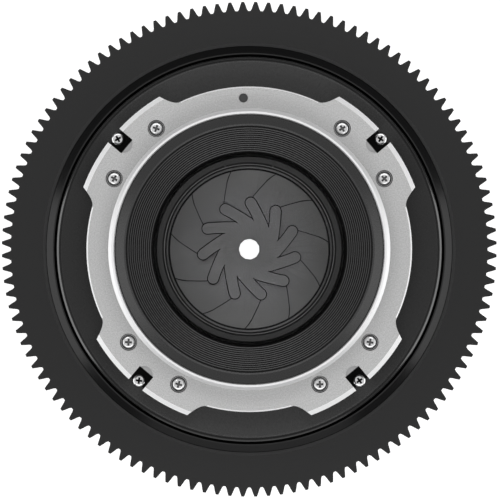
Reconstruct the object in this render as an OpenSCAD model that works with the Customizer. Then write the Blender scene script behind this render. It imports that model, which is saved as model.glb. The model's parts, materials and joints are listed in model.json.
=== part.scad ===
// Cinema prime lens, seen from the rear: silver four-tab bayonet mount, black
// anodised barrels, geared iris and focus rings, eleven-blade iris and two lens groups.
// The optical axis is Z. The origin is the centre of the flange seat, +Z points into
// the camera body and +Y points at the index dimple. The lens stands on its front rim.

/* [Lens mount] */
// Radius of the spigot that enters the camera
spigot_r = 27; // [26:0.1:28]
// Height of the spigot above the flange seat
spigot_h = 8; // [6:0.5:10]
// Wall of the spigot
spigot_wall = 1.2; // [1.2:0.1:2]
// Width of the lead-in bevel on the spigot's end
spigot_bevel = 0.6; // [0.4:0.05:0.8]
// Drop of that bevel
spigot_drop = 0.3; // [0.2:0.05:0.6]
// Chamfer on the spigot's inner edge
spigot_edge = 0.2; // [0.1:0.05:0.3]
// Thickness of the flange
flange_t = 3.6; // [3:0.1:5]
// Reach of the flange beyond the spigot
flange_step = 4.4; // [4.2:0.1:5]
// Reach of the bayonet tabs beyond the flange
tab_reach = 2.8; // [2.2:0.1:3.4]
// Angle of a tab's outer edge
tab_top_angle = 39; // [32:1:42]
// Angle taken by each sloped flank of a tab
tab_flank_angle = 5.5; // [4:0.5:7]
// Bevel on a tab's outer edge
tab_bevel = 0.9; // [0.3:0.1:1.2]
// Bevel on the flange edge between the tabs
flange_bevel = 0.25; // [0.1:0.05:0.5]
// Half angle between the two upper tabs, from the index
upper_tab_angle = 50; // [46:1:54]
// Half angle between the two lower tabs
lower_tab_angle = 40; // [38:1:46]
// Width of the notch in each tab
notch_w = 3.4; // [3:0.1:4]
// Depth of the notch from the tab's edge
notch_depth = 3.4; // [3:0.1:3.8]
// Length of the round-ended ledge past the notch
ledge_len = 0.9; // [0.4:0.1:1]
// Depth of that ledge
ledge_depth = 0.9; // [0.4:0.1:1.5]
// Distance of the index dimple outside the spigot
index_step = 2.2; // [1.8:0.1:2.6]
// Diameter of the index dimple
index_d = 1.8; // [1:0.1:2.2]
// Angle of the index dimple from the top
index_angle = 2.2; // [0:0.1:5]
// Thickness of the back-focus shim
shim_t = 0.3; // [0.1:0.05:0.8]
// Height of the neck under the flange, room for a locking ring
neck_h = 6.1; // [5:0.1:8]

/* [Screws] */
// Head diameter of the small cross-head screws
screw_head_d = 2.5; // [2:0.1:2.8]
// Head height of those screws
screw_head_h = 0.9; // [0.6:0.1:1.2]
// Shank diameter of those screws
screw_d = 1.6; // [1.2:0.1:1.8]
// Distance of the flange screws outside the spigot
flange_screw_step = 2.4; // [2.2:0.1:2.6]
// Angle of a flange screw from its tab's notch
flange_screw_angle = 12.4; // [11:0.2:14]
// Length of a flange screw's shank
flange_screw_len = 8; // [6:0.5:9]
// Distance of the barrel screws inside the tab edge
barrel_screw_inset = 0.8; // [0.6:0.1:1]

/* [Rear barrel] */
// Reach of the rear barrel beyond the tabs
barrel_step = 3.3; // [2.6:0.1:4.5]
// Wall of the rear barrel
rear_barrel_wall = 2.9; // [2.4:0.1:3.2]
// Thickness of the rear cap's plate
rear_plate_t = 3; // [2.5:0.1:4]
// Rounding of the rear cap's edge
rear_rim_round = 1.5; // [0.8:0.1:2]
// Steepest lean of that rounding
rim_lean = 45; // [35:5:60]
// Length of rear barrel that shows behind the iris ring
barrel_show = 12; // [10:0.5:14]

/* [Throat] */
// Narrowing of the baffle's sloped mouth, on the radius
mouth_step = 1.8; // [1.4:0.1:2.2]
// Rise of that slope
mouth_rise = 0.75; // [0.5:0.05:1]
// Distance of the slope's foot below the spigot's end
mouth_sink = 0.4; // [0.3:0.05:0.8]
// Width of the flat rim inside the slope
mouth_land = 0.34; // [0.3:0.02:0.5]
// Width of the groove between rim and ribs
mouth_groove = 0.36; // [0.3:0.02:0.5]
// Depth of that groove
groove_depth = 0.9; // [0.6:0.1:1.4]
// Narrowing of the ribbed part, on the radius
rib_step = 4.7; // [4.2:0.1:4.9]
// Count of ribs
rib_count = 12; // [6:1:14]
// Drop from one rib to the next
rib_drop = 0.02; // [0:0.01:0.1]
// Width of the cut between two ribs
rib_cut = 0.2; // [0.1:0.02:0.26]
// Depth of that cut
rib_depth = 0.05; // [0.02:0.01:0.2]
// Depth of the throat below the flange seat
throat_len = 17; // [16:0.1:17]
// Wall of the baffle's tubes
baffle_wall = 1.4; // [1:0.1:1.6]

/* [Iris ring] */
// Module of the gears
gear_module = 0.8; // [0.6:0.1:1]
// Height of the pitch circle above the scale band
gear_rise = 3; // [2.6:0.1:4]
// Depth of a tooth
tooth_depth = 1.8; // [1.4:0.1:2]
// Width of the iris gear
iris_gear_w = 9; // [7:0.5:11]
// Length of the iris ring
iris_ring_w = 20; // [18:0.5:22]
// Wall of the focus ring under its scale band
band_wall = 4.15; // [3.8:0.05:5]
// Width of the recess at the iris ring's inner edge
recess_w = 2.55; // [2:0.05:3]
// Width of the shallow bevel on the iris ring's inner edge
edge_bevel = 0.6; // [0.3:0.1:0.9]
// Drop of that bevel
edge_drop = 0.15; // [0.1:0.05:0.3]
// Gap between the rear barrel and the sloped collar
collar_gap = 0.9; // [0.7:0.05:1.2]
// Rise of the collar's slope
collar_rise = 1; // [0.8:0.1:1.6]
// Width of the flat land on top of the collar
collar_land = 0.25; // [0.1:0.05:0.4]

/* [Iris blades] */
// Clearance of the open blades round the rear glass
iris_open_step = 0.2; // [0.1:0.05:0.4]
// Hole radius with the iris stopped down
iris_hole_r = 2.05; // [1.6:0.05:2.6]
// Distance of the pivot circle outside the open iris
pivot_step = 2.8; // [2.4:0.1:3]
// Distance of the drive pin from the pivot
blade_arm = 5; // [4.6:0.1:5.2]
// Angle of that arm from the radius, iris stopped down
arm_angle = 52.5; // [50:0.5:55]
// Radius of a blade's round tip
tip_r = 1.26; // [1.1:0.02:1.4]
// Place of the tip's centre along a blade's reach, iris stopped down
tip_share = 0.629; // [0.6:0.001:0.66]
// Radius of a blade's back edge
blade_back_r = 51; // [48:1:54]
// Angle between a blade's edges at the tip
blade_taper = 2.7; // [2:0.1:3.4]
// Height step from one blade to the next
blade_step = 0.2; // [0.18:0.01:0.24]
// Thickness of a blade
blade_t = 0.05; // [0.03:0.01:0.06]
// Diameter of the blade pins
blade_pin_d = 1.2; // [1:0.05:1.4]
// Turn of the iris ring from stopped down to open
iris_turn = 40; // [38:1:44]
// Diameter of the pin that joins the iris ring to the cam ring
drive_pin_d = 1.6; // [1.2:0.1:1.8]

/* [Focus ring] */
// Length of the fixed witness ring
witness_w = 7.6; // [6:0.1:10]
// Length of the focus ring
focus_ring_w = 33.6; // [32:0.2:38]
// Width of the focus gear
focus_gear_w = 9; // [7:0.5:11]
// Length of the focus scale band
focus_band_w = 16; // [12:0.5:17]
// Height of the focus ring's front land above the scale band
land_rise = 1.4; // [0.8:0.1:1.8]
// Turn of the focus ring from far to near
focus_turn = 180; // [150:5:180]
// Travel of the front group over that turn
focus_travel = 7.5; // [6.5:0.1:7.5]
// Diameter of the cam followers
follower_d = 3.2; // [2.6:0.1:3.4]
// Reach of the guide barrel beyond the rear barrel
guide_step = 1; // [0.6:0.1:1.6]
// Wall of the guide barrel
guide_wall = 3; // [2.4:0.1:3]
// Wall of the focus cam sleeve
cam_wall = 2.25; // [1.8:0.05:2.4]

/* [Front] */
// Reach of the front barrel beyond the scale bands
front_step = 2.5; // [2:0.1:3.5]
// Length of the front barrel
front_w = 11.65; // [11:0.05:14]
// Wall outside the filter thread
filter_wall = 4.5; // [3:0.1:5]
// Depth of the filter thread
filter_depth = 5; // [4:0.1:5.4]
// Wall of the front cell round the front element
front_cell_wall = 5.9; // [5:0.1:7]
// Wall of the front cell round the second and third elements
mid_cell_wall = 11.4; // [10.6:0.1:13]
// Distance of the rear elements inside the throat
rear_ring_w = 1.6; // [1.5:0.05:1.8]

/* [Fits] */
// Radial clearance of turning and sliding pieces
run_fit = 0.05; // [0.03:0.01:0.08]
// Clearance between fixed pieces
seat_fit = 0.05; // [0.03:0.01:0.08]
// Axial play of turning pieces
axial_play = 0.05; // [0.03:0.01:0.1]
// Clearance of screws in plain holes
hole_fit = 0.1; // [0.05:0.01:0.15]

/* [Hidden] */
$fn = 96;
// Overshoot of cutting shapes
eps = 1;

// Mount radii
bore_r = spigot_r - spigot_wall;
flange_r = spigot_r + flange_step;
tab_r = flange_r + tab_reach;
neck_r = flange_r - 0.4;
baffle_r = bore_r - seat_fit;
throat_smooth_r = bore_r - mouth_step;
rib_start_r = throat_smooth_r - mouth_land - mouth_groove;
throat_r = rib_start_r - rib_step;
rear_glass_r = throat_r - rear_ring_w;
iris_open_r = rear_glass_r + iris_open_step;
pivot_r = iris_open_r + pivot_step;
rear_barrel_r = tab_r + barrel_step;
flange_screw_r = spigot_r + flange_screw_step;
barrel_screw_r = tab_r - barrel_screw_inset;
tab_angles = [90 - upper_tab_angle, 90 + upper_tab_angle, 270 - lower_tab_angle, 270 + lower_tab_angle];
counterbore_d = screw_head_d + 0.8;
counterbore_depth = screw_head_h + 0.2;
flank_steps = 8;

// Heights down the axis
z_shim = -flange_t;
z_neck = z_shim - shim_t;
z_face = z_neck - neck_h;
z_plate = z_face - rear_plate_t;
z_iris_rear = z_face - barrel_show;
z_iris_front = z_iris_rear - iris_ring_w;
z_witness_rear = z_iris_front - 0.35;
z_witness_front = z_witness_rear - witness_w;
slide_t = 0.35;
z_focus_rear = z_witness_front - slide_t - axial_play;
z_focus_front = z_focus_rear - focus_ring_w;
z_front_rear = z_focus_front - slide_t - axial_play;
z_rim = z_front_rear - front_w;

// Rear cap and barrel
neck_tail_wall = 1.7;
neck_tail_r = bore_r + neck_tail_wall;
boss_r = neck_tail_r + 1.5;
cell_r = bore_r - 1.75;
post_r = 2.6;
post_h = 6;
rear_barrel_in = rear_barrel_r - rear_barrel_wall;
z_throat = -throat_len;
z_baffle = z_throat - 0.5;
z_cell_top = z_baffle - 0.4;

// Throat
z_mouth_foot = spigot_h - mouth_sink;
z_mouth = z_mouth_foot + mouth_rise;
z_ribs = z_mouth - 0.3;
z_web = z_ribs - rib_drop * rib_count - rib_depth - baffle_wall;

// Iris stack, from the cam ring's pin up to the cover
iris_pin_drop = 14.15;
cam_ring_t = 2.4;
pivot_plate_t = 0.9;
iris_cover_t = 0.9;
housing_floor_t = 1.1;
lock_ring_t = 2;
z_cam_mid = z_iris_rear - iris_pin_drop;
z_cam_top = z_cam_mid + cam_ring_t / 2;
z_cam_bottom = z_cam_mid - cam_ring_t / 2;
z_pivot_bottom = z_cam_top + axial_play;
z_pivot_top = z_pivot_bottom + pivot_plate_t;
z_floor_top = z_cam_bottom - axial_play;
z_floor = z_floor_top - housing_floor_t;
z_lock = z_floor - lock_ring_t;

// Blade geometry, with the pivot on the +X axis and the iris stopped down
blades = 11;
pitch = 360 / blades;
inner_shift = iris_open_r - iris_hole_r;
tip_reach = inner_shift * tip_share;
swing = 2 * asin(inner_shift / 2 / pivot_r);
inner_dir = -acos(inner_shift / 2 / pivot_r);
tip_dir = inner_dir - acos((pow(inner_shift, 2) + pow(tip_reach, 2) - pow(iris_open_r + tip_r, 2))
    / (2 * inner_shift * tip_reach)) + 360;
inner_c = inner_shift * [cos(inner_dir), sin(inner_dir)];
tip_c = tip_reach * [cos(tip_dir), sin(tip_dir)];
tip_normal = atan2(tip_c[1] - inner_c[1], tip_c[0] - inner_c[0]);
back_dir = tip_normal - blade_taper;
back_c = tip_c - (blade_back_r - tip_r) * [cos(back_dir), sin(back_dir)];
housing_gap = 1.6;
housing_wall = 3.05;
plate_seat = 2;
blade_room = 1.3;
housing_r = rear_barrel_in - housing_gap;
plate_r = housing_r - housing_wall;
cam_out_r = plate_r - plate_seat - run_fit;
shoulder_r = cam_out_r - blade_room;
tail_reach = shoulder_r - 1.2;
tail_a = -17;
inner_end_a = polar(inner_c + iris_open_r * [cos(tip_normal), sin(tip_normal)]);
back_end_a = polar(back_c + blade_back_r * [cos(back_dir), sin(back_dir)]);
tip_end_a = tip_dir + asin(tip_r / tip_reach) - 0.05;
blade_rise = blade_step / pitch;
blade_rays = 32;
tip_rays = 7;
blade_base = z_pivot_top - tail_a * blade_rise + 0.08;
z_cover = blade_base + tip_end_a * blade_rise + blade_t + 0.1;
z_cover_top = z_cover + iris_cover_t;
// Polar angle of the first blade's tip, iris stopped down
tip_rest_a = 55.4;
blade_phase = tip_rest_a - tip_dir;
pivot_p = [pivot_r, 0];
drive_p = pivot_p + blade_arm * [cos(arm_angle), -sin(arm_angle)];

// Iris housing radii
window_r = iris_open_r - 1;
cover_open_r = iris_open_r - 1.6;
cam_in_r = pivot_r - 2.2;
housing_in_r = cam_out_r + run_fit;
housing_bore_r = housing_r + seat_fit;
iris_cover_screws_n = 3;
drive_pin_a = 200;
slot_margin_a = 4;

// Radii from the rear barrel out to the scale bands
guide_r = rear_barrel_r + guide_step;
guide_in = guide_r - guide_wall;
cam_in = guide_r + run_fit;
cam_out = cam_in + cam_wall;
focus_in = cam_out + seat_fit;
band_r = focus_in + band_wall;

// Iris ring
// The standard module sets the count of teeth that fits the ring
teeth = round(2 * (band_r + gear_rise) / gear_module);
pitch_r = teeth * gear_module / 2;
gear_tip_r = pitch_r + gear_module;
gear_root_r = gear_tip_r - tooth_depth;
iris_bore_r = rear_barrel_r + run_fit;
recess_out_r = iris_bore_r + recess_w;
collar_in_r = iris_bore_r + collar_gap;
collar_r = recess_out_r - hole_fit;
recess_depth = 4;
clip_t = 0.9;
clip_bite = 0.5;
stop_pin_d = 2;
stop_pin_len = 2.2;
stop_groove_depth = 2.6;
iris_stop_r = iris_bore_r + 3.6;
iris_stop_a = 30;

// Guide barrel, cam sleeve and focus ring
joint_spigot_len = 6;
joint_spigot_r = guide_in - seat_fit;
z_joint = z_iris_front - joint_spigot_len;
land_r = band_r + land_rise;
front_r = band_r + front_step;
filter_r = front_r - filter_wall;
focus_stop_r = focus_in + 1.85;
focus_stop_a = 250;
z_guide_front = z_front_rear - 4.1;
follower_n = 3;
follower_a = 30;
follower_drop = 11.6;
z_follower = z_focus_rear - follower_drop;
cell_out = guide_in - run_fit;
follower_fit = 0.06;
focus_lead = focus_travel / focus_turn;
z_focus_gear = z_focus_rear - focus_band_w - 0.6;
helix_steps = 32;
drive_screw_drop = 3.7;

// Front barrel and front cell
z_filter = z_rim + filter_depth;
z_baffle_seat = z_guide_front - 0.1;
front_baffle_r = filter_r - 1.1;
front_baffle_in = cell_out + 0.55;
z_cell_front = z_front_rear + 5.4;
z_cell_rear = z_follower + 8;
front_pocket = 9;
lip_t = 1.5;
front_edge_t = 3;
front_glass_r = cell_out - front_cell_wall - seat_fit;
mid_glass_r = cell_out - mid_cell_wall - seat_fit;
front_ring_in = front_glass_r - 1.2;
front_ring_t = 1;
z_front_seat = z_cell_front + front_pocket;
z_mid_seat = z_front_seat + lip_t;
// Radii of the glass surfaces, steeper or flatter with the size of the glass
front_glass_r1 = front_glass_r * 1.86;
front_glass_r2 = front_glass_r * 3.73;
mid_glass_r1 = mid_glass_r * 1.88;
mid_glass_r2 = mid_glass_r * 3.75;
mid_glass_r3 = mid_glass_r * 1.42;
rear_glass_r1 = rear_glass_r * 2.35;
rear_glass_r2 = rear_glass_r * 3.53;
rear_glass_r3 = rear_glass_r * 8;
rear_glass_r4 = rear_glass_r * 6;
rear_glass_r5 = rear_glass_r * 8;
glass_gap = 0.05;
glass_facets = 240;

// Plane geometry helpers
function polar(p) = (atan2(p[1], p[0]) + 360) % 360;
function at(r, a) = r * [cos(a), sin(a)];
function turn(p, a) = [p[0] * cos(a) - p[1] * sin(a), p[0] * sin(a) + p[1] * cos(a)];
function root_of(c, r, u) = sqrt(max(0, pow(c * u, 2) - c * c + r * r));
function far_hit(c, r, u) = c * u + root_of(c, r, u);
function near_hit(c, r, u) = c * u - root_of(c, r, u);
function sag(surface_r, r) = surface_r - sqrt(surface_r * surface_r - r * r);
function arc_points(c, r, a0, a1, n) = [for (i = [0:n]) c + at(r, a0 + (a1 - a0) * i / n)];

// Common solids
module revolve(points) {
  rotate_extrude()
    polygon(points);
}

module ring(r_out, r_in, z0, z1) {
  revolve([[r_in, z0], [r_out, z0], [r_out, z1], [r_in, z1]]);
}

module disc(r, z0, z1) {
  translate([0, 0, z0])
    cylinder(r = r, h = z1 - z0);
}

module radial_bar(a, z, d, r0, r1) {
  rotate([0, 0, a])
    translate([r0, 0, z])
      rotate([0, 90, 0])
        cylinder(d = d, h = r1 - r0);
}

// A sector of a ring between two angles
module arc_block(r0, r1, a0, a1, z0, z1) {
  n = max(2, ceil((a1 - a0) / 3));
  translate([0, 0, z0])
    linear_extrude(z1 - z0)
      polygon(concat(arc_points([0, 0], r1, a0, a1, n), arc_points([0, 0], r0, a1, a0, n)));
}

// Cross-head screw, its head's top on the origin, its shank down -Z
module cross_screw(shank_len) {
  slot_w = screw_head_d * 0.16;
  slot_l = screw_head_d * 0.62;
  slot_depth = screw_head_h * 0.55;
  head_edge = screw_head_h * 0.3;
  difference() {
    union() {
      revolve([
        [0, -screw_head_h], [screw_head_d / 2, -screw_head_h], [screw_head_d / 2, -head_edge],
        [screw_head_d / 2 - head_edge, 0], [0, 0]
      ]);
      translate([0, 0, -screw_head_h - shank_len])
        cylinder(d = screw_d, h = shank_len + screw_head_h / 2);
    }
    for (a = [0, 90])
      rotate([0, 0, a])
        translate([-slot_l / 2, -slot_w / 2, -slot_depth])
          cube([slot_l, slot_w, slot_depth + eps]);
  }
}

// Places of the repeated screws
module at_flange_screws() {
  for (a = tab_angles, side = [-1, 1])
    rotate([0, 0, a + side * flange_screw_angle])
      translate([flange_screw_r, 0, 0])
        rotate([0, 0, side * 20])
          children();
}

module at_tabs() {
  for (a = tab_angles)
    rotate([0, 0, a])
      children();
}

// Mount

// Outline of one tab, its flanks hollowed where they leave the flange
function tab_outline() = let(
    top = tab_top_angle / 2,
    flank = [for (i = [0:flank_steps]) i / flank_steps],
    ease = [for (t = flank) flange_r - 0.05 + (tab_reach + 0.05) * t * t])
  concat(
    [[0, 0]],
    [for (i = [0:flank_steps]) at(ease[i], -top - tab_flank_angle * (1 - flank[i]))],
    [at(tab_r + eps, -top), at(tab_r + eps * 4, 0), at(tab_r + eps, top)],
    [for (i = [flank_steps:-1:0]) at(ease[i], top + tab_flank_angle * (1 - flank[i]))]);

module mount_flange() {
  notch_r = tab_r - notch_depth;
  color("silver")
    difference() {
      union() {
        revolve([
          [bore_r, -flange_t], [flange_r, -flange_t], [flange_r, -flange_bevel],
          [flange_r - flange_bevel, 0], [spigot_r, 0], [spigot_r, spigot_h - spigot_drop],
          [spigot_r - spigot_bevel, spigot_h], [bore_r + spigot_edge, spigot_h],
          [bore_r, spigot_h - spigot_edge]
        ]);
        at_tabs()
          intersection() {
            revolve([
              [spigot_r, -flange_t], [tab_r, -flange_t], [tab_r, -tab_bevel],
              [tab_r - tab_bevel, 0], [spigot_r, 0]
            ]);
            translate([0, 0, -flange_t - eps])
              linear_extrude(flange_t + eps * 2)
                polygon(tab_outline());
          }
      }
      at_tabs() {
        translate([notch_r, -notch_w / 2, -flange_t - eps])
          cube([notch_depth + eps, notch_w, flange_t + eps * 2]);
        translate([notch_r - ledge_len + notch_w / 2, 0, -ledge_depth])
          cylinder(d = notch_w, h = ledge_depth + eps);
      }
      at_flange_screws() {
        translate([0, 0, -counterbore_depth])
          cylinder(d = counterbore_d, h = counterbore_depth + eps);
        translate([0, 0, -flange_t - eps])
          cylinder(d = screw_d + hole_fit * 2, h = flange_t + eps * 2);
      }
      rotate([0, 0, 90 + index_angle])
        translate([spigot_r + index_step, 0, -0.6])
          cylinder(d = index_d, h = 0.6 + eps);
    }
}

module flange_shim() {
  color("goldenrod")
    difference() {
      ring(neck_r, bore_r, z_neck, z_shim);
      at_flange_screws()
        translate([0, 0, z_neck - eps])
          cylinder(d = screw_d + hole_fit * 2, h = shim_t + eps * 2);
    }
}

module flange_screws() {
  color("gainsboro")
    at_flange_screws()
      translate([0, 0, screw_head_h - counterbore_depth])
        cross_screw(flange_screw_len);
}

module mount_neck() {
  color("dimgray")
    difference() {
      revolve([
        [bore_r, z_plate], [neck_tail_r, z_plate], [neck_tail_r, z_face], [neck_r, z_face],
        [neck_r, z_neck], [bore_r, z_neck]
      ]);
      at_flange_screws()
        translate([0, 0, z_face])
          cylinder(d = screw_d + hole_fit, h = neck_h + eps);
    }
}

// Rear cap, its screws and the rear barrel

module barrel_screws() {
  color("gainsboro")
    at_tabs()
      translate([barrel_screw_r, 0, z_face + screw_head_h / 2])
        rotate([0, 0, 15])
          cross_screw(rear_plate_t + post_h - screw_head_h);
}

module rear_cap() {
  edge_c = [rear_barrel_r - rear_rim_round * cos(rim_lean), z_face - rear_rim_round];
  color("dimgray")
    difference() {
      revolve(concat(
        [[cell_r + seat_fit, z_cover_top + seat_fit], [boss_r, z_cover_top + seat_fit],
          [boss_r, z_plate], [rear_barrel_r, z_plate]],
        arc_points(edge_c, rear_rim_round, rim_lean, 90, 8),
        [[neck_tail_r + seat_fit, z_face], [neck_tail_r + seat_fit, z_plate - seat_fit],
          [bore_r, z_plate - seat_fit], [bore_r, z_baffle], [cell_r + seat_fit, z_baffle]]));
      at_tabs()
        translate([barrel_screw_r, 0, z_face - screw_head_h / 2]) {
          cylinder(d = screw_head_d + hole_fit * 2, h = screw_head_h + eps);
          translate([0, 0, -rear_plate_t])
            cylinder(d = screw_d + hole_fit, h = rear_plate_t + eps);
        }
    }
}

module rear_barrel() {
  clip_z = z_iris_rear - recess_depth + 0.1;
  color("dimgray")
    difference() {
      union() {
        revolve([
          [housing_bore_r, z_joint], [joint_spigot_r, z_joint], [joint_spigot_r, z_iris_front],
          [rear_barrel_r, z_iris_front], [rear_barrel_r, clip_z],
          [rear_barrel_r - clip_bite, clip_z], [rear_barrel_r - clip_bite, clip_z + clip_t + 0.1],
          [rear_barrel_r, clip_z + clip_t + 0.1], [rear_barrel_r, z_plate],
          [rear_barrel_in, z_plate], [rear_barrel_in, z_cover_top], [housing_bore_r, z_cover_top]
        ]);
        at_tabs()
          intersection() {
            disc(rear_barrel_in + rear_barrel_wall / 2, z_plate - post_h, z_plate - seat_fit);
            translate([barrel_screw_r, 0, z_plate - post_h])
              cylinder(r = post_r, h = post_h);
          }
      }
      at_tabs()
        translate([barrel_screw_r, 0, z_plate - post_h - eps])
          cylinder(d = screw_d + hole_fit, h = post_h + eps * 2);
      drive_window(housing_bore_r - eps, rear_barrel_r + eps);
      at_joint_screws()
        radial_bar(0, z_joint + joint_spigot_len / 2, stop_pin_d + hole_fit, housing_bore_r - eps,
          guide_r);
    }
}

// Slot through a wall that lets the iris drive pin travel
module drive_window(r0, r1) {
  half_h = drive_pin_d / 2 + 0.3;
  arc_block(r0, r1, drive_pin_a - iris_turn - slot_margin_a, drive_pin_a + slot_margin_a,
    z_cam_mid - half_h, z_cam_mid + half_h);
}

module at_joint_screws() {
  for (a = [90, 210, 330])
    rotate([0, 0, a])
      children();
}

module barrel_joint_screws() {
  color("silver")
    at_joint_screws()
      radial_bar(0, z_joint + joint_spigot_len / 2, stop_pin_d, housing_bore_r + 0.4, guide_r - 0.3);
}

// Throat baffle: a smooth mouth, a groove and a ribbed cone

module rear_baffle() {
  step_r = (rib_start_r - throat_r) / rib_count;
  land_in = throat_smooth_r - mouth_land;
  tube_r = throat_r + baffle_wall;
  skirt_in = baffle_r - baffle_wall;
  ribs = [for (i = [0:rib_count - 1]) let(out_r = rib_start_r - step_r * i, z = z_ribs - rib_drop * i) each [
    [out_r, z], [out_r - step_r + rib_cut, z], [out_r - step_r + rib_cut / 2, z - rib_depth]
  ]];
  color("black")
    revolve(concat(
      [[baffle_r, z_baffle], [baffle_r, z_mouth_foot], [throat_smooth_r, z_mouth], [land_in, z_mouth],
        [land_in, z_mouth - groove_depth], [rib_start_r, z_mouth - groove_depth]],
      ribs,
      [[throat_r, z_ribs - rib_drop * rib_count], [throat_r, z_baffle], [tube_r, z_baffle],
        [tube_r, z_web], [skirt_in, z_web], [skirt_in, z_baffle]]));
}

// Rear lens group

module rear_cell() {
  groove_in = rear_glass_r + 1.2;
  groove_out = throat_r + 0.25;
  color("black")
    revolve([
      [cover_open_r + 0.3, z_cover_top + 0.1], [cell_r, z_cover_top + 0.1], [cell_r, z_cell_top],
      [groove_out, z_cell_top], [groove_out, z_cell_top - 5], [groove_in, z_cell_top - 5],
      [groove_in, z_cell_top - 1.05], [rear_glass_r + seat_fit, z_cell_top - 1.05],
      [rear_glass_r + seat_fit, z_rear_seat], [cover_open_r + 0.3, z_rear_seat]
    ]);
}

// Heights of the rear group, from its seat to the retaining ring
z_rear_seat = z_cover_top + 1.1;
z_doublet_edge = z_rear_seat + 6;
z_doublet_rear = z_doublet_edge + 1;
z_rear_front = z_doublet_rear + 1.5;
z_rear_edge = z_rear_front + 1;

module rear_doublet_front() {
  flat_r = rear_glass_r - 2;
  hollow = sag(rear_glass_r1, flat_r);
  color("lightblue", 0.4)
    difference() {
      disc(rear_glass_r, z_rear_seat + glass_gap, z_doublet_edge);
      translate([0, 0, z_rear_seat + hollow - rear_glass_r1])
        sphere(r = rear_glass_r1, $fn = glass_facets);
      translate([0, 0, z_doublet_edge - sag(rear_glass_r2, rear_glass_r) + rear_glass_r2])
        sphere(r = rear_glass_r2, $fn = glass_facets);
    }
}

module rear_doublet_back() {
  front_c = z_doublet_edge + glass_gap - sag(rear_glass_r2, rear_glass_r) + rear_glass_r2;
  rear_c = z_doublet_rear + sag(rear_glass_r3, rear_glass_r) - rear_glass_r3;
  color("lightblue", 0.4)
    intersection() {
      disc(rear_glass_r, z_rear_seat, z_rear_edge + 5);
      translate([0, 0, front_c])
        sphere(r = rear_glass_r2, $fn = glass_facets);
      translate([0, 0, rear_c])
        sphere(r = rear_glass_r3, $fn = glass_facets);
    }
}

module rear_spacer() {
  inner = rear_glass_r - 0.7;
  dome = sag(rear_glass_r3, rear_glass_r) - sag(rear_glass_r3, inner);
  color("black")
    ring(rear_glass_r, inner, z_doublet_rear + dome + glass_gap, z_rear_front - glass_gap);
}

module rear_element() {
  front_c = z_rear_front + sag(rear_glass_r4, rear_glass_r) - rear_glass_r4;
  rear_c = z_rear_edge + sag(rear_glass_r5, rear_glass_r) - rear_glass_r5;
  color("lightblue", 0.4)
    difference() {
      intersection() {
        disc(rear_glass_r, z_rear_front, z_rear_edge + 5);
        translate([0, 0, rear_c])
          sphere(r = rear_glass_r5, $fn = glass_facets);
      }
      translate([0, 0, front_c])
        sphere(r = rear_glass_r4, $fn = glass_facets);
    }
}

module rear_retaining_ring() {
  inner = rear_glass_r - 0.7;
  face_in = rear_glass_r + 0.1;
  face_out = rear_glass_r + 1.1;
  slit_a = 16;
  slit_w = 0.45;
  z_press = z_rear_edge + sag(rear_glass_r5, rear_glass_r) - sag(rear_glass_r5, inner) + 0.06;
  color("black")
    difference() {
      revolve([
        [inner, z_press], [rear_glass_r, z_press], [rear_glass_r, z_cell_top - 1],
        [face_out, z_cell_top - 1], [face_out, z_cell_top], [face_in, z_cell_top],
        [inner, z_cell_top - 0.8]
      ]);
      for (a = [90 - slit_a, 90 + slit_a])
        rotate([0, 0, a])
          translate([inner - eps, -slit_w / 2, z_cell_top - 0.5])
            cube([face_out - inner + eps * 2, slit_w, eps]);
    }
}

// Iris mechanism

module iris_housing() {
  color("dimgray")
    difference() {
      revolve([
        [window_r, z_floor], [housing_r, z_floor], [housing_r, z_cover], [plate_r + seat_fit, z_cover],
        [plate_r + seat_fit, z_pivot_bottom], [housing_in_r, z_pivot_bottom],
        [housing_in_r, z_floor_top], [window_r, z_floor_top]
      ]);
      drive_window(housing_in_r - eps, housing_r + eps);
      at_cover_screws()
        translate([0, 0, z_cover - 3])
          cylinder(d = screw_d + hole_fit, h = 3 + eps);
    }
}

module at_cover_screws() {
  for (i = [0:iris_cover_screws_n - 1])
    rotate([0, 0, 60 + 360 / iris_cover_screws_n * i])
      translate([(plate_r + housing_r) / 2, 0, 0])
        children();
}

module iris_cover_ring() {
  color("black")
    difference() {
      ring(housing_r, cover_open_r, z_cover, z_cover_top);
      at_cover_screws()
        translate([0, 0, z_cover - eps])
          cylinder(d = screw_d + hole_fit, h = iris_cover_t + eps * 2);
    }
}

module iris_cover_screws() {
  color("silver")
    at_cover_screws()
      translate([0, 0, z_cover - 2.5])
        cylinder(d = screw_d, h = 2.5 + iris_cover_t - 0.1);
}

module iris_lock_ring() {
  color("dimgray")
    ring(housing_r, housing_r - 4, z_lock, z_floor - seat_fit);
}

// Window for a drive pin: an arc about the blade's pivot
module drive_pin_window() {
  half_w = blade_pin_d / 2 + 0.25;
  extra_a = asin(half_w / blade_arm);
  translate([pivot_r, 0, z_pivot_bottom - eps])
    linear_extrude(pivot_plate_t + eps * 2)
      polygon(concat(
        arc_points([0, 0], blade_arm + half_w, -arm_angle + extra_a, -arm_angle - swing - extra_a, 12),
        arc_points([0, 0], blade_arm - half_w, -arm_angle - swing - extra_a, -arm_angle + extra_a, 12)));
}

module at_blades() {
  for (k = [0:blades - 1])
    rotate([0, 0, blade_phase + pitch * k])
      children();
}

module iris_pivot_plate() {
  color("slategray")
    difference() {
      ring(plate_r, window_r, z_pivot_bottom, z_pivot_top);
      at_blades() {
        translate([pivot_r, 0, z_pivot_bottom - eps])
          cylinder(d = blade_pin_d + run_fit, h = pivot_plate_t + eps * 2);
        drive_pin_window();
      }
    }
}

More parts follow.
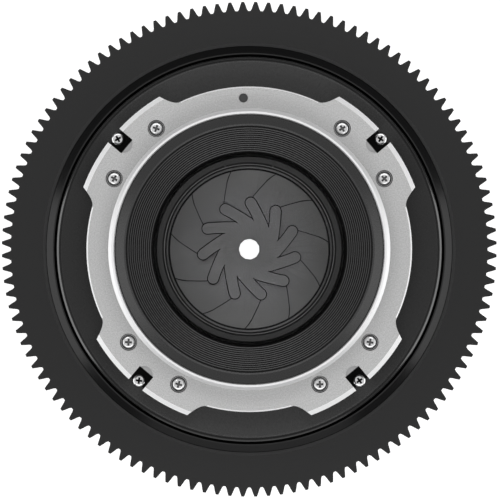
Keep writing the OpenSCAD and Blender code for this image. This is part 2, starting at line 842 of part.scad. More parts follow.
// Path of a drive pin in the cam ring, from stopped down to open
slot_steps = 16;
function slot_mid(t) = turn(pivot_p + turn(drive_p - pivot_p, -swing * t), iris_turn * t);
function slot_dir(t) = let(d = slot_mid(t + 0.01) - slot_mid(t - 0.01)) atan2(d[1], d[0]);
function slot_side(side, half_w) = [for (i = [0:slot_steps]) let(t = i / slot_steps)
  slot_mid(t) + at(half_w, slot_dir(t) + 90 * side)];
function slot_outline(half_w) = let(right = slot_side(-1, half_w), left = slot_side(1, half_w))
  concat(
    right,
    arc_points(slot_mid(1), half_w, slot_dir(1) - 75, slot_dir(1) + 75, 10),
    [for (i = [slot_steps:-1:0]) left[i]],
    arc_points(slot_mid(0), half_w, slot_dir(0) + 105, slot_dir(0) + 255, 10));

module iris_cam_ring() {
  color("darkgoldenrod")
    difference() {
      ring(cam_out_r, cam_in_r, z_cam_bottom, z_cam_top);
      at_blades()
        translate([0, 0, z_cam_bottom - eps])
          linear_extrude(cam_ring_t + eps * 2)
            polygon(slot_outline(blade_pin_d / 2 + run_fit));
      radial_bar(drive_pin_a, z_cam_mid, drive_pin_d + seat_fit * 2, drive_pin_in, cam_out_r + eps);
    }
}

drive_pin_in = cam_out_r - 1.8;
drive_pin_out = iris_bore_r + 4;

module iris_drive_pin() {
  color("silver")
    radial_bar(drive_pin_a, z_cam_mid, drive_pin_d, drive_pin_in + 0.1, drive_pin_out - 0.1);
}

// A blade is a thin sheet that climbs as it turns round the axis, so that the eleven
// blades lie over one another like the steps of a spiral stair
ray_angles = concat(
  [for (i = [0:blade_rays]) tail_a + (back_end_a - tail_a) * i / blade_rays],
  [for (i = [1:tip_rays]) back_end_a + (tip_end_a - back_end_a) * sin(90 * i / tip_rays)]);

function inner_edge(a) = let(u = [cos(a), sin(a)])
  a > inner_end_a ? near_hit(tip_c, tip_r, u) : far_hit(inner_c, iris_open_r, u);
function back_edge(a) = let(u = [cos(a), sin(a)])
  a > back_end_a ? far_hit(tip_c, tip_r, u)
  : min(far_hit(back_c, blade_back_r, u), far_hit(inner_c, shoulder_r, u), tail_reach);

module blade_sheet() {
  n = len(ray_angles) - 1;
  points = [for (a = ray_angles, h = [0, blade_t], r = [inner_edge(a), back_edge(a)])
    [r * cos(a), r * sin(a), blade_base + a * blade_rise + h]];
  sides = [for (i = [0:n - 1]) let(p = i * 4, q = p + 4) each [
    [p, p + 1, q + 1], [p, q + 1, q],
    [p + 2, q + 3, p + 3], [p + 2, q + 2, q + 3],
    [p, q, q + 2], [p, q + 2, p + 2],
    [p + 1, p + 3, q + 3], [p + 1, q + 3, q + 1]
  ]];
  e = n * 4;
  polyhedron(points, concat(sides, [[0, 2, 3], [0, 3, 1], [e, e + 1, e + 3], [e, e + 3, e + 2]]));
}

module blade(k) {
  drive_a = atan2(drive_p[1], drive_p[0]);
  pivot_top = blade_base + blade_t + 0.01;
  drive_top = blade_base + drive_a * blade_rise + blade_t + 0.01;
  color("gray")
    rotate([0, 0, blade_phase + pitch * (k - 1)]) {
      blade_sheet();
      translate([pivot_r, 0, z_pivot_bottom + 0.05])
        cylinder(d = blade_pin_d, h = pivot_top - z_pivot_bottom - 0.05);
      translate([drive_p[0], drive_p[1], z_cam_bottom + 0.2])
        cylinder(d = blade_pin_d, h = drive_top - z_cam_bottom - 0.2);
    }
}

// Geared rings

pressure_angle = 20;
tooth_thin = 0.08;
base_r = pitch_r * cos(pressure_angle);
function involute(a) = tan(a) * 180 / PI - a;
function half_tooth(r) = 90 / teeth * (1 - tooth_thin) + involute(pressure_angle)
  - involute(acos(base_r / r));
function gear_outline() = let(
    low_r = gear_root_r + 0.35,
    mid_r = (low_r + gear_tip_r) / 2,
    half_pitch = 180 / teeth,
    valley = (half_pitch - half_tooth(low_r)) * 0.5)
  [for (i = [0:teeth - 1]) let(a = (i + 0.5) * 360 / teeth) each [
    at(low_r, a - half_tooth(low_r)), at(mid_r, a - half_tooth(mid_r)),
    at(gear_tip_r, a - half_tooth(gear_tip_r)), at(gear_tip_r, a + half_tooth(gear_tip_r)),
    at(mid_r, a + half_tooth(mid_r)), at(low_r, a + half_tooth(low_r)),
    at(gear_root_r, a + half_pitch - valley), at(gear_root_r, a + half_pitch + valley)
  ]];

module gear_band(z0, z1) {
  translate([0, 0, z0])
    linear_extrude(z1 - z0)
      polygon(gear_outline());
}

module iris_ring() {
  z_gear = z_iris_rear - iris_gear_w;
  taper = gear_root_r - band_r;
  stop_half = stop_pin_d / 2 + 0.2;
  stop_half_a = asin(stop_half / iris_stop_r) + 0.5;
  color("dimgray")
    difference() {
      union() {
        gear_band(z_gear, z_iris_rear);
        revolve([
          [0, z_iris_front], [band_r - 0.5, z_iris_front], [band_r, z_iris_front + 0.5],
          [band_r, z_gear - taper], [gear_root_r - 0.1, z_gear - 0.1], [gear_root_r - 0.1, z_gear + eps],
          [0, z_gear + eps]
        ]);
      }
      revolve([
        [0, z_iris_front - eps], [iris_bore_r, z_iris_front - eps],
        [iris_bore_r, z_iris_rear - recess_depth], [recess_out_r, z_iris_rear - recess_depth],
        [recess_out_r, z_iris_rear - edge_drop], [recess_out_r + edge_bevel, z_iris_rear],
        [recess_out_r + edge_bevel, z_iris_rear + eps], [0, z_iris_rear + eps]
      ]);
      radial_bar(drive_pin_a, z_cam_mid, drive_pin_d + seat_fit * 2, iris_bore_r - eps, drive_pin_out);
      arc_block(iris_stop_r - stop_half, iris_stop_r + stop_half, iris_stop_a - stop_half_a,
        iris_stop_a + iris_turn + stop_half_a, z_iris_front - eps, z_iris_front + stop_groove_depth);
    }
}

module iris_clip_ring() {
  clip_z = z_iris_rear - recess_depth + 0.15;
  z_collar = z_iris_rear - edge_drop;
  color("black")
    revolve([
      [rear_barrel_r - clip_bite + seat_fit, clip_z], [collar_r, clip_z], [collar_r, z_collar],
      [collar_in_r + collar_land, z_collar + collar_rise], [collar_in_r, z_collar + collar_rise],
      [collar_in_r, clip_z + clip_t],
      [rear_barrel_r - clip_bite + seat_fit, clip_z + clip_t]
    ]);
}

module iris_stop_pin() {
  color("silver")
    rotate([0, 0, iris_stop_a])
      translate([iris_stop_r, 0, z_witness_rear - 3])
        cylinder(d = stop_pin_d, h = 3 + stop_pin_len);
}

// Fixed middle barrels

module at_followers() {
  for (i = [0:follower_n - 1])
    rotate([0, 0, follower_a + 360 / follower_n * i])
      children();
}

module guide_barrel() {
  slot_w = follower_d + follower_fit * 2;
  slot_top = z_follower + follower_d / 2 + 0.2;
  slot_bottom = z_follower - focus_travel - follower_d / 2 - 0.2;
  color("dimgray")
    difference() {
      ring(guide_r, guide_in, z_guide_front, z_iris_front - seat_fit);
      at_followers()
        translate([guide_in - eps, -slot_w / 2, slot_bottom])
          cube([guide_wall + eps * 2, slot_w, slot_top - slot_bottom]);
      at_joint_screws()
        radial_bar(0, z_joint + joint_spigot_len / 2, stop_pin_d + hole_fit, guide_in - eps, guide_r + eps);
    }
}

module at_witness_screws() {
  for (a = [60, 180, 300])
    rotate([0, 0, a])
      children();
}

module witness_ring() {
  bevel = 0.4;
  r_out = band_r - 0.4;
  z_mid = (z_witness_rear + z_witness_front) / 2;
  color("dimgray")
    difference() {
      revolve([
        [guide_r + seat_fit, z_witness_front], [r_out - bevel, z_witness_front],
        [r_out, z_witness_front + bevel], [r_out, z_witness_rear - bevel],
        [r_out - bevel, z_witness_rear], [guide_r + seat_fit, z_witness_rear]
      ]);
      at_witness_screws()
        radial_bar(0, z_mid, stop_pin_d + hole_fit, guide_r - eps, r_out + eps);
      rotate([0, 0, iris_stop_a])
        translate([iris_stop_r, 0, z_witness_rear - 3.1])
          cylinder(d = stop_pin_d + hole_fit, h = 3.1 + eps);
      rotate([0, 0, focus_stop_a])
        translate([focus_stop_r, 0, z_witness_front - eps])
          cylinder(d = stop_pin_d + hole_fit, h = 3.1 + eps);
    }
}

module witness_screws() {
  z_mid = (z_witness_rear + z_witness_front) / 2;
  color("black")
    at_witness_screws()
      radial_bar(0, z_mid, stop_pin_d, guide_r + 0.1, band_r - 0.8);
}

module focus_slide_ring_rear() {
  color("ivory")
    ring(cam_out - 0.1, guide_r + seat_fit, z_witness_front - slide_t, z_witness_front - 0.01);
}

module focus_slide_ring_front() {
  color("ivory")
    ring(cam_out - 0.1, guide_r + seat_fit, z_front_rear + 0.01, z_front_rear + slide_t);
}

module focus_stop_pin() {
  color("silver")
    rotate([0, 0, focus_stop_a])
      translate([focus_stop_r, 0, z_witness_front - slide_t - stop_pin_len])
        cylinder(d = stop_pin_d, h = 3 + slide_t + stop_pin_len);
}

// Focus ring and its cam sleeve

module at_drive_screws() {
  for (a = [10, 130, 250])
    rotate([0, 0, a])
      children();
}

z_drive_screw = z_focus_front + drive_screw_drop;

module focus_ring() {
  z_gear_rear = z_focus_gear;
  z_gear_front = z_gear_rear - focus_gear_w;
  taper = gear_root_r - band_r;
  stop_half = stop_pin_d / 2 + 0.2;
  stop_half_a = asin(stop_half / focus_stop_r) + 0.5;
  color("dimgray")
    difference() {
      union() {
        gear_band(z_gear_front, z_gear_rear);
        revolve([
          [0, z_focus_front], [land_r - 0.5, z_focus_front], [land_r, z_focus_front + 0.5],
          [land_r, z_gear_front - 0.3], [gear_root_r - 0.1, z_gear_front + 0.1],
          [gear_root_r - 0.1, z_gear_rear - 0.1], [band_r, z_gear_rear + taper],
          [band_r, z_focus_rear - 0.5], [band_r - 0.5, z_focus_rear], [0, z_focus_rear]
        ]);
      }
      disc(focus_in, z_focus_front - eps, z_focus_rear + eps);
      at_drive_screws()
        radial_bar(0, z_drive_screw, screw_d + hole_fit, focus_in - eps, land_r + eps);
      at_drive_screws()
        radial_bar(0, z_drive_screw, screw_head_d + hole_fit, land_r - screw_head_h - 0.3, land_r + eps);
      arc_block(focus_stop_r - stop_half, focus_stop_r + stop_half,
        focus_stop_a - focus_turn - stop_half_a, focus_stop_a + stop_half_a,
        z_focus_rear - stop_groove_depth, z_focus_rear + eps);
    }
}

// Cutter for one helical cam slot: a block swept round the axis at a steady lead
module helix_cutter() {
  half_h = follower_d / 2 + follower_fit;
  end_a = asin((follower_d / 2 + 0.4) / cam_in);
  a0 = end_a;
  a1 = -focus_turn - end_a;
  r0 = cam_in - eps;
  r1 = cam_out + eps;
  points = [for (i = [0:helix_steps]) let(a = a0 + (a1 - a0) * i / helix_steps)
    for (c = [[r0, -half_h], [r0, half_h], [r1, half_h], [r1, -half_h]])
      [c[0] * cos(a), c[0] * sin(a), z_follower + a * focus_lead + c[1]]];
  sides = [for (i = [0:helix_steps - 1], j = [0:3]) let(p = i * 4, n = (j + 1) % 4) each [
    [p + j, p + n, p + 4 + n], [p + j, p + 4 + n, p + 4 + j]
  ]];
  e = helix_steps * 4;
  polyhedron(points, concat(sides, [[3, 2, 1], [3, 1, 0], [e, e + 1, e + 2], [e, e + 2, e + 3]]));
}

module focus_cam_sleeve() {
  color("silver")
    difference() {
      ring(cam_out, cam_in, z_focus_front + axial_play, z_focus_rear - axial_play);
      at_followers()
        helix_cutter();
      at_drive_screws()
        radial_bar(0, z_drive_screw, screw_d + hole_fit, cam_in - eps, cam_out + eps);
    }
}

module focus_drive_screws() {
  color("black")
    at_drive_screws()
      translate([land_r - 0.3, 0, z_drive_screw])
        rotate([0, 90, 0])
          cross_screw(land_r - 0.3 - screw_head_h - cam_in - 0.4);
}

// Front barrel

module front_barrel() {
  bevel = 0.6;
  groove_z = z_front_rear - 2.4;
  groove_w = 1;
  groove_depth = 0.5;
  thread_mouth = 0.5;
  color("dimgray")
    revolve([
      [filter_r + thread_mouth, z_rim], [front_r - bevel, z_rim], [front_r, z_rim + bevel],
      [front_r, groove_z - groove_w], [front_r - groove_depth, groove_z - groove_w],
      [front_r - groove_depth, groove_z], [front_r, groove_z], [front_r, z_front_rear - bevel],
      [front_r - bevel, z_front_rear], [guide_r + seat_fit, z_front_rear],
      [guide_r + seat_fit, z_baffle_seat], [front_baffle_r + seat_fit, z_baffle_seat],
      [front_baffle_r + seat_fit, z_filter], [filter_r, z_filter], [filter_r, z_rim + thread_mouth]
    ]);
}

module front_baffle() {
  steps = 5;
  thin = 0.5;
  z0 = z_filter + 0.05;
  z1 = z_baffle_seat - seat_fit;
  top_r = front_baffle_r - 0.6;
  step_r = (top_r - front_baffle_in) / steps;
  step_z = (z1 - thin - z0) / steps;
  stairs = [for (i = [0:steps - 1]) each [
    [top_r - step_r * i, z0 + step_z * i], [top_r - step_r * (i + 1), z0 + step_z * i + 0.1]
  ]];
  color("black")
    revolve(concat(
      [[front_baffle_r, z0]],
      [[front_baffle_r, z1], [front_baffle_in, z1]],
      [for (i = [len(stairs) - 1:-1:0]) stairs[i]]));
}

// Front group on its sliding cell

module front_cell() {
  relief = 0.9;
  land = 5;
  color("black")
    difference() {
      revolve([
        [front_glass_r + seat_fit, z_cell_front], [cell_out, z_cell_front],
        [cell_out, z_cell_front + land], [cell_out - relief, z_cell_front + land + relief],
        [cell_out - relief, z_follower - 4 - relief], [cell_out, z_follower - 4],
        [cell_out, z_cell_rear], [mid_glass_r + seat_fit, z_cell_rear],
        [mid_glass_r + seat_fit, z_mid_seat], [mid_glass_r - 1, z_mid_seat],
        [front_glass_r - 2, z_front_seat], [front_glass_r + seat_fit, z_front_seat]
      ]);
      at_followers()
        radial_bar(0, z_follower, screw_d + hole_fit, cell_out - 4, cell_out + eps);
    }
}

// Heights of the front group
z_front_edge = z_front_seat - front_edge_t;
z_second_front = z_mid_seat + 2.5;
z_second_rear = z_second_front + 3;
z_third_rear = z_second_rear + 5;
third_hollow_r = mid_glass_r - 4;

module front_element() {
  color("lightblue", 0.4)
    difference() {
      intersection() {
        disc(front_glass_r, z_front_edge - 20, z_front_seat - glass_gap);
        translate([0, 0, z_front_edge - sag(front_glass_r1, front_glass_r) + front_glass_r1])
          sphere(r = front_glass_r1, $fn = glass_facets);
      }
      translate([0, 0, z_front_seat - sag(front_glass_r2, front_glass_r - 2) + front_glass_r2])
        sphere(r = front_glass_r2, $fn = glass_facets);
    }
}

module second_element() {
  color("lightblue", 0.4)
    difference() {
      intersection() {
        disc(mid_glass_r, z_second_front - 15, z_second_rear);
        translate([0, 0, z_second_front - sag(mid_glass_r1, mid_glass_r) + mid_glass_r1])
          sphere(r = mid_glass_r1, $fn = glass_facets);
      }
      translate([0, 0, z_second_rear - sag(mid_glass_r2, mid_glass_r) + mid_glass_r2])
        sphere(r = mid_glass_r2, $fn = glass_facets);
    }
}

module third_element() {
  color("lightblue", 0.4)
    difference() {
      intersection() {
        disc(mid_glass_r, z_second_front - 15, z_third_rear);
        translate([0, 0, z_second_rear + glass_gap - sag(mid_glass_r2, mid_glass_r) + mid_glass_r2])
          sphere(r = mid_glass_r2, $fn = glass_facets);
      }
      translate([0, 0, z_third_rear - sag(mid_glass_r3, third_hollow_r) + mid_glass_r3])
        sphere(r = mid_glass_r3, $fn = glass_facets);
    }
}

module front_retaining_ring() {
  bevel = 0.8;
  z_press = z_front_edge - sag(front_glass_r1, front_glass_r) + sag(front_glass_r1, front_ring_in) - 0.1;
  color("black")
    revolve([
      [front_ring_in, z_cell_front - front_ring_t + bevel], [front_ring_in + bevel, z_cell_front - front_ring_t],
      [cell_out - 0.5, z_cell_front - front_ring_t], [cell_out - 0.5, z_cell_front - seat_fit],
      [front_glass_r, z_cell_front - seat_fit], [front_glass_r, z_press], [front_ring_in, z_press]
    ]);
}

module inner_retaining_ring() {
  color("black")
    ring(mid_glass_r, third_hollow_r + 0.4, z_third_rear + glass_gap, z_third_rear + 2.4);
}

module cam_followers() {
  color("goldenrod")
    at_followers()
      difference() {
        radial_bar(0, z_follower, follower_d, cell_out + 0.05, cam_out - 0.3);
        radial_bar(0, z_follower, screw_d + hole_fit, cell_out - eps, cam_out + eps);
      }
}

module follower_screws() {
  color("silver")
    at_followers()
      radial_bar(0, z_follower, screw_d, cell_out - 3.8, cam_out - 0.4);
}

mount_flange();
flange_shim();
flange_screws();
mount_neck();
barrel_screws();
rear_cap();
rear_barrel();
rear_baffle();
rear_cell();
rear_element();
rear_doublet_back();
rear_doublet_front();
rear_spacer();
rear_retaining_ring();
iris_housing();
iris_pivot_plate();
iris_cover_ring();
iris_cover_screws();
iris_lock_ring();
iris_clip_ring();
guide_barrel();
barrel_joint_screws();
witness_ring();
witness_screws();
focus_slide_ring_rear();
focus_slide_ring_front();
focus_stop_pin();
iris_stop_pin();
front_barrel();
front_baffle();
iris_ring();
iris_cam_ring();
iris_drive_pin();
focus_ring();
focus_cam_sleeve();
focus_drive_screws();
front_cell();
front_element();
second_element();
third_element();
front_retaining_ring();
inner_retaining_ring();
cam_followers();
follower_screws();
blade(1);  // iris_blade_01
blade(2);  // iris_blade_02
blade(3);  // iris_blade_03
blade(4);  // iris_blade_04
blade(5);  // iris_blade_05
blade(6);  // iris_blade_06
blade(7);  // iris_blade_07
blade(8);  // iris_blade_08
blade(9);  // iris_blade_09
blade(10);  // iris_blade_10
blade(11);  // iris_blade_11
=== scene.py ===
import json
import math

import bpy
from mathutils import Matrix, Vector


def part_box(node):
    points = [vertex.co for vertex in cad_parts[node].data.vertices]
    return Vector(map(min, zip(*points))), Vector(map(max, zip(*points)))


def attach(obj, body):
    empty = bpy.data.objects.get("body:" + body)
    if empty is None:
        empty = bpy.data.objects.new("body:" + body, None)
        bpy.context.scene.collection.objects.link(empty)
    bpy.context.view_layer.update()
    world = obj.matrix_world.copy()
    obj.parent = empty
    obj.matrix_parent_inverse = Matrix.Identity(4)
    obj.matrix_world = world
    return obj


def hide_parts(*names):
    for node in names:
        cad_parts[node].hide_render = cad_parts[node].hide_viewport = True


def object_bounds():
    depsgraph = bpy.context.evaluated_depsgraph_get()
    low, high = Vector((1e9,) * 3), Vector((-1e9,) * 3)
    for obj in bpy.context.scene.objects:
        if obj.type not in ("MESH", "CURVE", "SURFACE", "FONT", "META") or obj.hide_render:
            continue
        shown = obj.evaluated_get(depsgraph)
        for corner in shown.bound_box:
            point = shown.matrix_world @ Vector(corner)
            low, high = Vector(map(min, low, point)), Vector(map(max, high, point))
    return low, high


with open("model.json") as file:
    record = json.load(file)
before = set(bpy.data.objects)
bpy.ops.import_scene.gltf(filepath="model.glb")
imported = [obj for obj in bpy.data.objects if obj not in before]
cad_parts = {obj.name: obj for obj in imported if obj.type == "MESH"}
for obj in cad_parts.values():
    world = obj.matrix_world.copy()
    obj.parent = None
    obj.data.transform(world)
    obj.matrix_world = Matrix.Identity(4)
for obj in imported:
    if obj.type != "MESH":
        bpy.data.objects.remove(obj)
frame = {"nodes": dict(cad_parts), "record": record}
cad_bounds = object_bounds()
NODES = frame["nodes"]
MM = 0.001
ANY = (-math.inf, math.inf)


def box_mm(node):
    """Lowest and highest corner of a solid at rest, in mm."""
    low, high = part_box(node)
    return low / MM, high / MM


# Heights and radii read from the solids; all sizes are in mm and degrees unless a line says metres
FLANGE_TOP = box_mm("mount_flange")[1]
REAR_FACE_Z = box_mm("rear_cap")[1].z
MOUTH_TOP_Z = box_mm("rear_baffle")[1].z
RING_TOP = box_mm("rear_retaining_ring")[1]
COLLAR_TOP_Z = box_mm("iris_clip_ring")[1].z
WITNESS_FOOT, WITNESS_TOP = box_mm("witness_ring")
FRONT_FOOT, FRONT_TOP = box_mm("front_barrel")
FLOOR_Z = cad_bounds[0][2] / MM

# Scales round the barrel: heights, sizes of the figures, and lines by width and length
BAND_R = 45.0
IRIS_BAND_Z = box_mm("iris_ring")[0].z + 5.0
FOCUS_BAND_Z = box_mm("focus_ring")[1].z - 7.65
WITNESS_Z = (WITNESS_FOOT.z + WITNESS_TOP.z) / 2
STOP_Z = IRIS_BAND_Z + 0.6
STOP_LINE_Z = IRIS_BAND_Z - 3.0
THIRD_LINE_Z = IRIS_BAND_Z - 3.5
FOCUS_LINE_Z = FOCUS_BAND_Z + 4.6
DEPTH_LINE_Z = WITNESS_Z - 2.4
STOP_SIZE = 2.6
DISTANCE_SIZE = 3.0
STOP_LINE = (0.25, 2.2)
THIRD_LINE = (0.15, 1.2)
FOCUS_LINE = (0.25, 2.6)
WITNESS_LINE = (0.3, 6.4)
DEPTH_LINE = (0.18, 1.8)
SCALE_SIDES = (("right", 0.0), ("left", 180.0))
STOPS = ("2", "2.8", "4", "5.6", "8", "11", "16", "22")
STOP_SWEEP = 40
DISTANCES = ("0.5", "0.6", "0.7", "0.8", "1", "1.2", "1.5", "2", "3", "5", "10")
FOCUS_SWEEP = 168
DEPTH_MARKS = (3, 6, 10)
MARK_HALF = 0.08
MARK_SINK = 0.05
EDGE_EASE = 0.02

# Index dimple in the flange
INDEX_R = 29.2
INDEX_ANGLE = 92.2
INDEX_Z = -0.42
INDEX_DISC_R = 0.82
INDEX_DISC_T = 0.12

# Mount screws, round the four tabs
TABS = (40, 140, 230, 310)
FLANGE_SCREW_R = 29.4
FLANGE_SCREW_ANGLE = 12.4
BARREL_SCREW_R = 33.4
FLANGE_PLACES = [(FLANGE_SCREW_R, tab + side * FLANGE_SCREW_ANGLE) for tab in TABS for side in (-1, 1)]
BARREL_PLACES = [(BARREL_SCREW_R, tab) for tab in TABS]
HEAD_R = 1.25
HEAD_H = 0.9
HEAD_ROUND = 0.42
SHANK_R = 0.8
ARM = (1.7, 0.5, 1.1)
ARM_TAPER = (0.55, 0.6, 1)
RECESS_R = 0.75
RECESS_DEPTH = (0.02, 0.7)
FIRST_TURN = 17
NEXT_TURN = 53

# Rings of painted shadow on the counterbore floors, and black pads of painted shade under the notches
COUNTERBORE_R = 1.65
COUNTERBORE_Z = box_mm("flange_screws")[1].z - HEAD_H
SHADOW_RING_W = 0.12
SHADOW_RING_RADII = (HEAD_R + 0.02, COUNTERBORE_R - SHADOW_RING_W - 0.01)
NOTCH_PAD_R = 32.5
NOTCH_PAD = (2.9, 3.6, 0.08)

# Bead on the retaining ring's slope, which falls a millimetre to the glass
RING_FACE_R = RING_TOP.x - 1.0
BEAD_R = 16.68
BEAD_W = 0.14

# Filter thread in the front rim
THREAD_R = FRONT_TOP.x - 4.5
THREAD_Z = FRONT_FOOT.z + 0.8
THREAD_RISE = 0.4
THREAD_PITCH = 0.75
THREAD_TURNS = 5
THREAD_SINK = 0.05

# Iris blades at rest: the rounded finger ends, and where borders of painted shadow show
BLADE_COUNT = 11
SHADOW_BORDER_WIDTH = 0.17
FINGER_R = 9.53
FINGER_ANGLE = 55.4
FINGER_LENGTH = 5.8
FINGER_END = 1.7
INNER_LINE_R = 6.2
OUTER_LINE_R = 10.5

# Glass elements: radius, body, then curve, height on the axis and reach of the front and of
# the rear surface; a positive curve rises to the axis
GLASS = (
    ("rear_element", 17.0, "barrel", (102.0, -20.482, 17.0), (136.0, -19.842, 17.0)),
    ("rear_doublet_back", 17.0, "barrel", (-60.01, -26.817, 17.0), (136.0, -22.342, 17.0)),
    ("rear_doublet_front", 17.0, "barrel", (39.95, -27.486, 15.0), (-60.01, -26.867, 17.0)),
    ("third_element", 24.0, "front_group", (-90.0, -66.16, 24.0), (-34.08, -64.44, 20.0)),
    ("second_element", 24.0, "front_group", (-45.12, -72.86, 24.0), (-90.0, -66.21, 24.0)),
    ("front_element", 29.5, "front_group", (-54.87, -81.56, 29.5), (-110.03, -73.43, 27.5)),
)

# How finely turned pieces are spun, welded and smoothed
SPIN_STEPS = 160
SHADOW_RING_STEPS = 48
GLASS_POINTS = 14
WELD = 0.002
BLADE_WELD = 0.001
TURNED_SMOOTH = 25
SCREW_SMOOTH = 32

# Floor, world light, lamps and camera, in metres and watts; the sensor and the lens are in mm
FLOOR_R = 3.0
FLOOR_DROP = 0.0002
# The floor glows more under the lens than around it: painted light where the lens shades the floor
GLOW_SPAN = (0.03, 0.06)
GLOW_UNDER = 1.1
GLOW_AROUND = 0.5
WORLD_SPAN = (0.3, 0.68)
WORLD_SIDE = 0.08
WORLD_TOP = 0.7
SOFTBOXES = (
    ("left softbox", (-0.96, -0.16, 0.4), (0, 0, -0.02), (1.0, 0.9), 3.8),
    ("right softbox", (0.96, -0.16, 0.4), (0, 0, -0.02), (1.0, 0.9), 3.8),
    ("near low softbox", (0, -1.0, 0.12), (0, 0, -0.02), (1.2, 0.4), 0.6),
    ("far high softbox", (0, 0.42, 1.05), (0, 0, 0), (0.7, 0.35), 1.5),
    ("near high softbox", (0, -0.42, 1.05), (0, 0, 0), (0.7, 0.35), 1.5),
)
CAMERA_Z = 0.978
CAMERA_SENSOR = 36
CAMERA_LENS = 365.1
CAMERA_SHIFT = (0.0015, -0.0015)


# Shader helpers

def add_node(tree, kind, **values):
    node = tree.nodes.new(kind)
    for key, value in values.items():
        setattr(node, key, value)
    return node


def math_node(tree, operation, a, b=None):
    node = add_node(tree, "ShaderNodeMath", operation=operation)
    for socket, value in zip(node.inputs, (a, b)):
        if value is None:
            continue
        if isinstance(value, (int, float)):
            socket.default_value = value
        else:
            tree.links.new(value, socket)
    return node.outputs[0]


def map_range(tree, value, start, end, interpolation="LINEAR"):
    """A value carried over from one span to another."""
    node = add_node(tree, "ShaderNodeMapRange", interpolation_type=interpolation)
    for key, number in zip(("From Min", "From Max", "To Min", "To Max"), (*start, *end)):
        node.inputs[key].default_value = number
    tree.links.new(value, node.inputs["Value"])
    return node.outputs[0]


def mix_shaders(tree, share, first, second):
    mix = add_node(tree, "ShaderNodeMixShader")
    for socket, source in zip(mix.inputs, (share, first, second)):
        tree.links.new(source, socket)
    return mix.outputs[0]


def turning_marks_group():
    """Fine concentric lines that a lathe leaves on a face, and fine grain over them."""
    group = bpy.data.node_groups.new("turning_marks", "ShaderNodeTree")
    group.interface.new_socket("Vector", in_out="INPUT", socket_type="NodeSocketVector")
    group.interface.new_socket("Lines", in_out="INPUT", socket_type="NodeSocketFloat")
    group.interface.new_socket("Grain", in_out="INPUT", socket_type="NodeSocketFloat")
    group.interface.new_socket("Height", in_out="OUTPUT", socket_type="NodeSocketFloat")
    group.interface.new_socket("Radius", in_out="OUTPUT", socket_type="NodeSocketFloat")
    inside = add_node(group, "NodeGroupInput")
    outside = add_node(group, "NodeGroupOutput")
    split = add_node(group, "ShaderNodeSeparateXYZ")
    group.links.new(inside.outputs["Vector"], split.inputs[0])
    xx = math_node(group, "MULTIPLY", split.outputs[0], split.outputs[0])
    yy = math_node(group, "MULTIPLY", split.outputs[1], split.outputs[1])
    radius = math_node(group, "SQRT", math_node(group, "ADD", xx, yy))
    along = math_node(group, "ADD", radius, math_node(group, "MULTIPLY", split.outputs[2], 0.73))
    lines = add_node(group, "ShaderNodeTexNoise", noise_dimensions="1D")
    lines.inputs["Detail"].default_value = 2
    group.links.new(math_node(group, "MULTIPLY", along, inside.outputs["Lines"]), lines.inputs["W"])
    grain = add_node(group, "ShaderNodeTexNoise")
    grain.inputs["Detail"].default_value = 3
    group.links.new(inside.outputs["Vector"], grain.inputs["Vector"])
    group.links.new(inside.outputs["Grain"], grain.inputs["Scale"])
    height = math_node(group, "ADD", lines.outputs[0], grain.outputs[0])
    group.links.new(math_node(group, "MULTIPLY", height, 0.5), outside.inputs["Height"])
    group.links.new(radius, outside.inputs["Radius"])
    return group


TURNING = turning_marks_group()
TURNING_DEPTH = 0.05


def add_turning(tree, bsdf, lines, grain, bump, rough):
    """Lathe lines and grain in the relief and the roughness of a finish."""
    coords = add_node(tree, "ShaderNodeTexCoord")
    marks = add_node(tree, "ShaderNodeGroup", node_tree=TURNING)
    marks.inputs["Lines"].default_value = lines
    marks.inputs["Grain"].default_value = grain
    tree.links.new(coords.outputs["Object"], marks.inputs["Vector"])
    relief = add_node(tree, "ShaderNodeBump")
    relief.inputs["Strength"].default_value = bump
    relief.inputs["Distance"].default_value = TURNING_DEPTH * MM
    tree.links.new(marks.outputs["Height"], relief.inputs["Height"])
    tree.links.new(relief.outputs[0], bsdf.inputs["Normal"])
    spread = map_range(tree, marks.outputs["Height"], (0, 1), rough)
    tree.links.new(spread, bsdf.inputs["Roughness"])
    return marks


def finish(name, colour, metallic, roughness, specular=0.5):
    material = bpy.data.materials.new(name)
    material.use_nodes = True
    tree = material.node_tree
    bsdf = tree.nodes["Principled BSDF"]
    bsdf.inputs["Base Color"].default_value = (*colour, 1)
    bsdf.inputs["Metallic"].default_value = metallic
    bsdf.inputs["Roughness"].default_value = roughness
    bsdf.inputs["Specular IOR Level"].default_value = specular
    return material, tree, bsdf


def grained(name, colour, metallic, roughness, specular=0.5,
            lines=6000, grain=3000, bump=0.05, below=0.04, above=0.04):
    """A finish with fine lathe lines; its roughness goes a little below and above its own."""
    material, tree, bsdf = finish(name, colour, metallic, roughness, specular)
    add_turning(tree, bsdf, lines, grain, bump, (roughness - below, roughness + above))
    return material


# Finishes

def satin_steel():
    """The mount flange: ground steel with a fine even grain, lighter and darker by turns."""
    material, tree, bsdf = finish("satin steel", (0.62, 0.62, 0.625), 1.0, 0.4)
    marks = add_turning(tree, bsdf, lines=3500, grain=4200, bump=0.3, rough=(0.34, 0.5))
    tone = map_range(tree, marks.outputs["Height"], (0.36, 0.64), (0.34, 0.56))
    tree.links.new(tone, bsdf.inputs["Base Color"])
    return material


def blade_steel():
    """Dulled blade sheets, lighter towards their outer edge as painted light where the throat shades
    them.
    """
    material, tree, bsdf = finish("blade steel", (0.32, 0.32, 0.321), 0.7, 0.58, specular=0.4)
    marks = add_turning(tree, bsdf, lines=3000, grain=2500, bump=0.05, rough=(0.54, 0.62))
    # painted light: the base colour grows lighter from 5 mm to 15 mm off the axis
    tone = map_range(tree, marks.outputs["Radius"], (5 * MM, 15 * MM), (0.31, 0.47))
    tree.links.new(tone, bsdf.inputs["Base Color"])
    return material


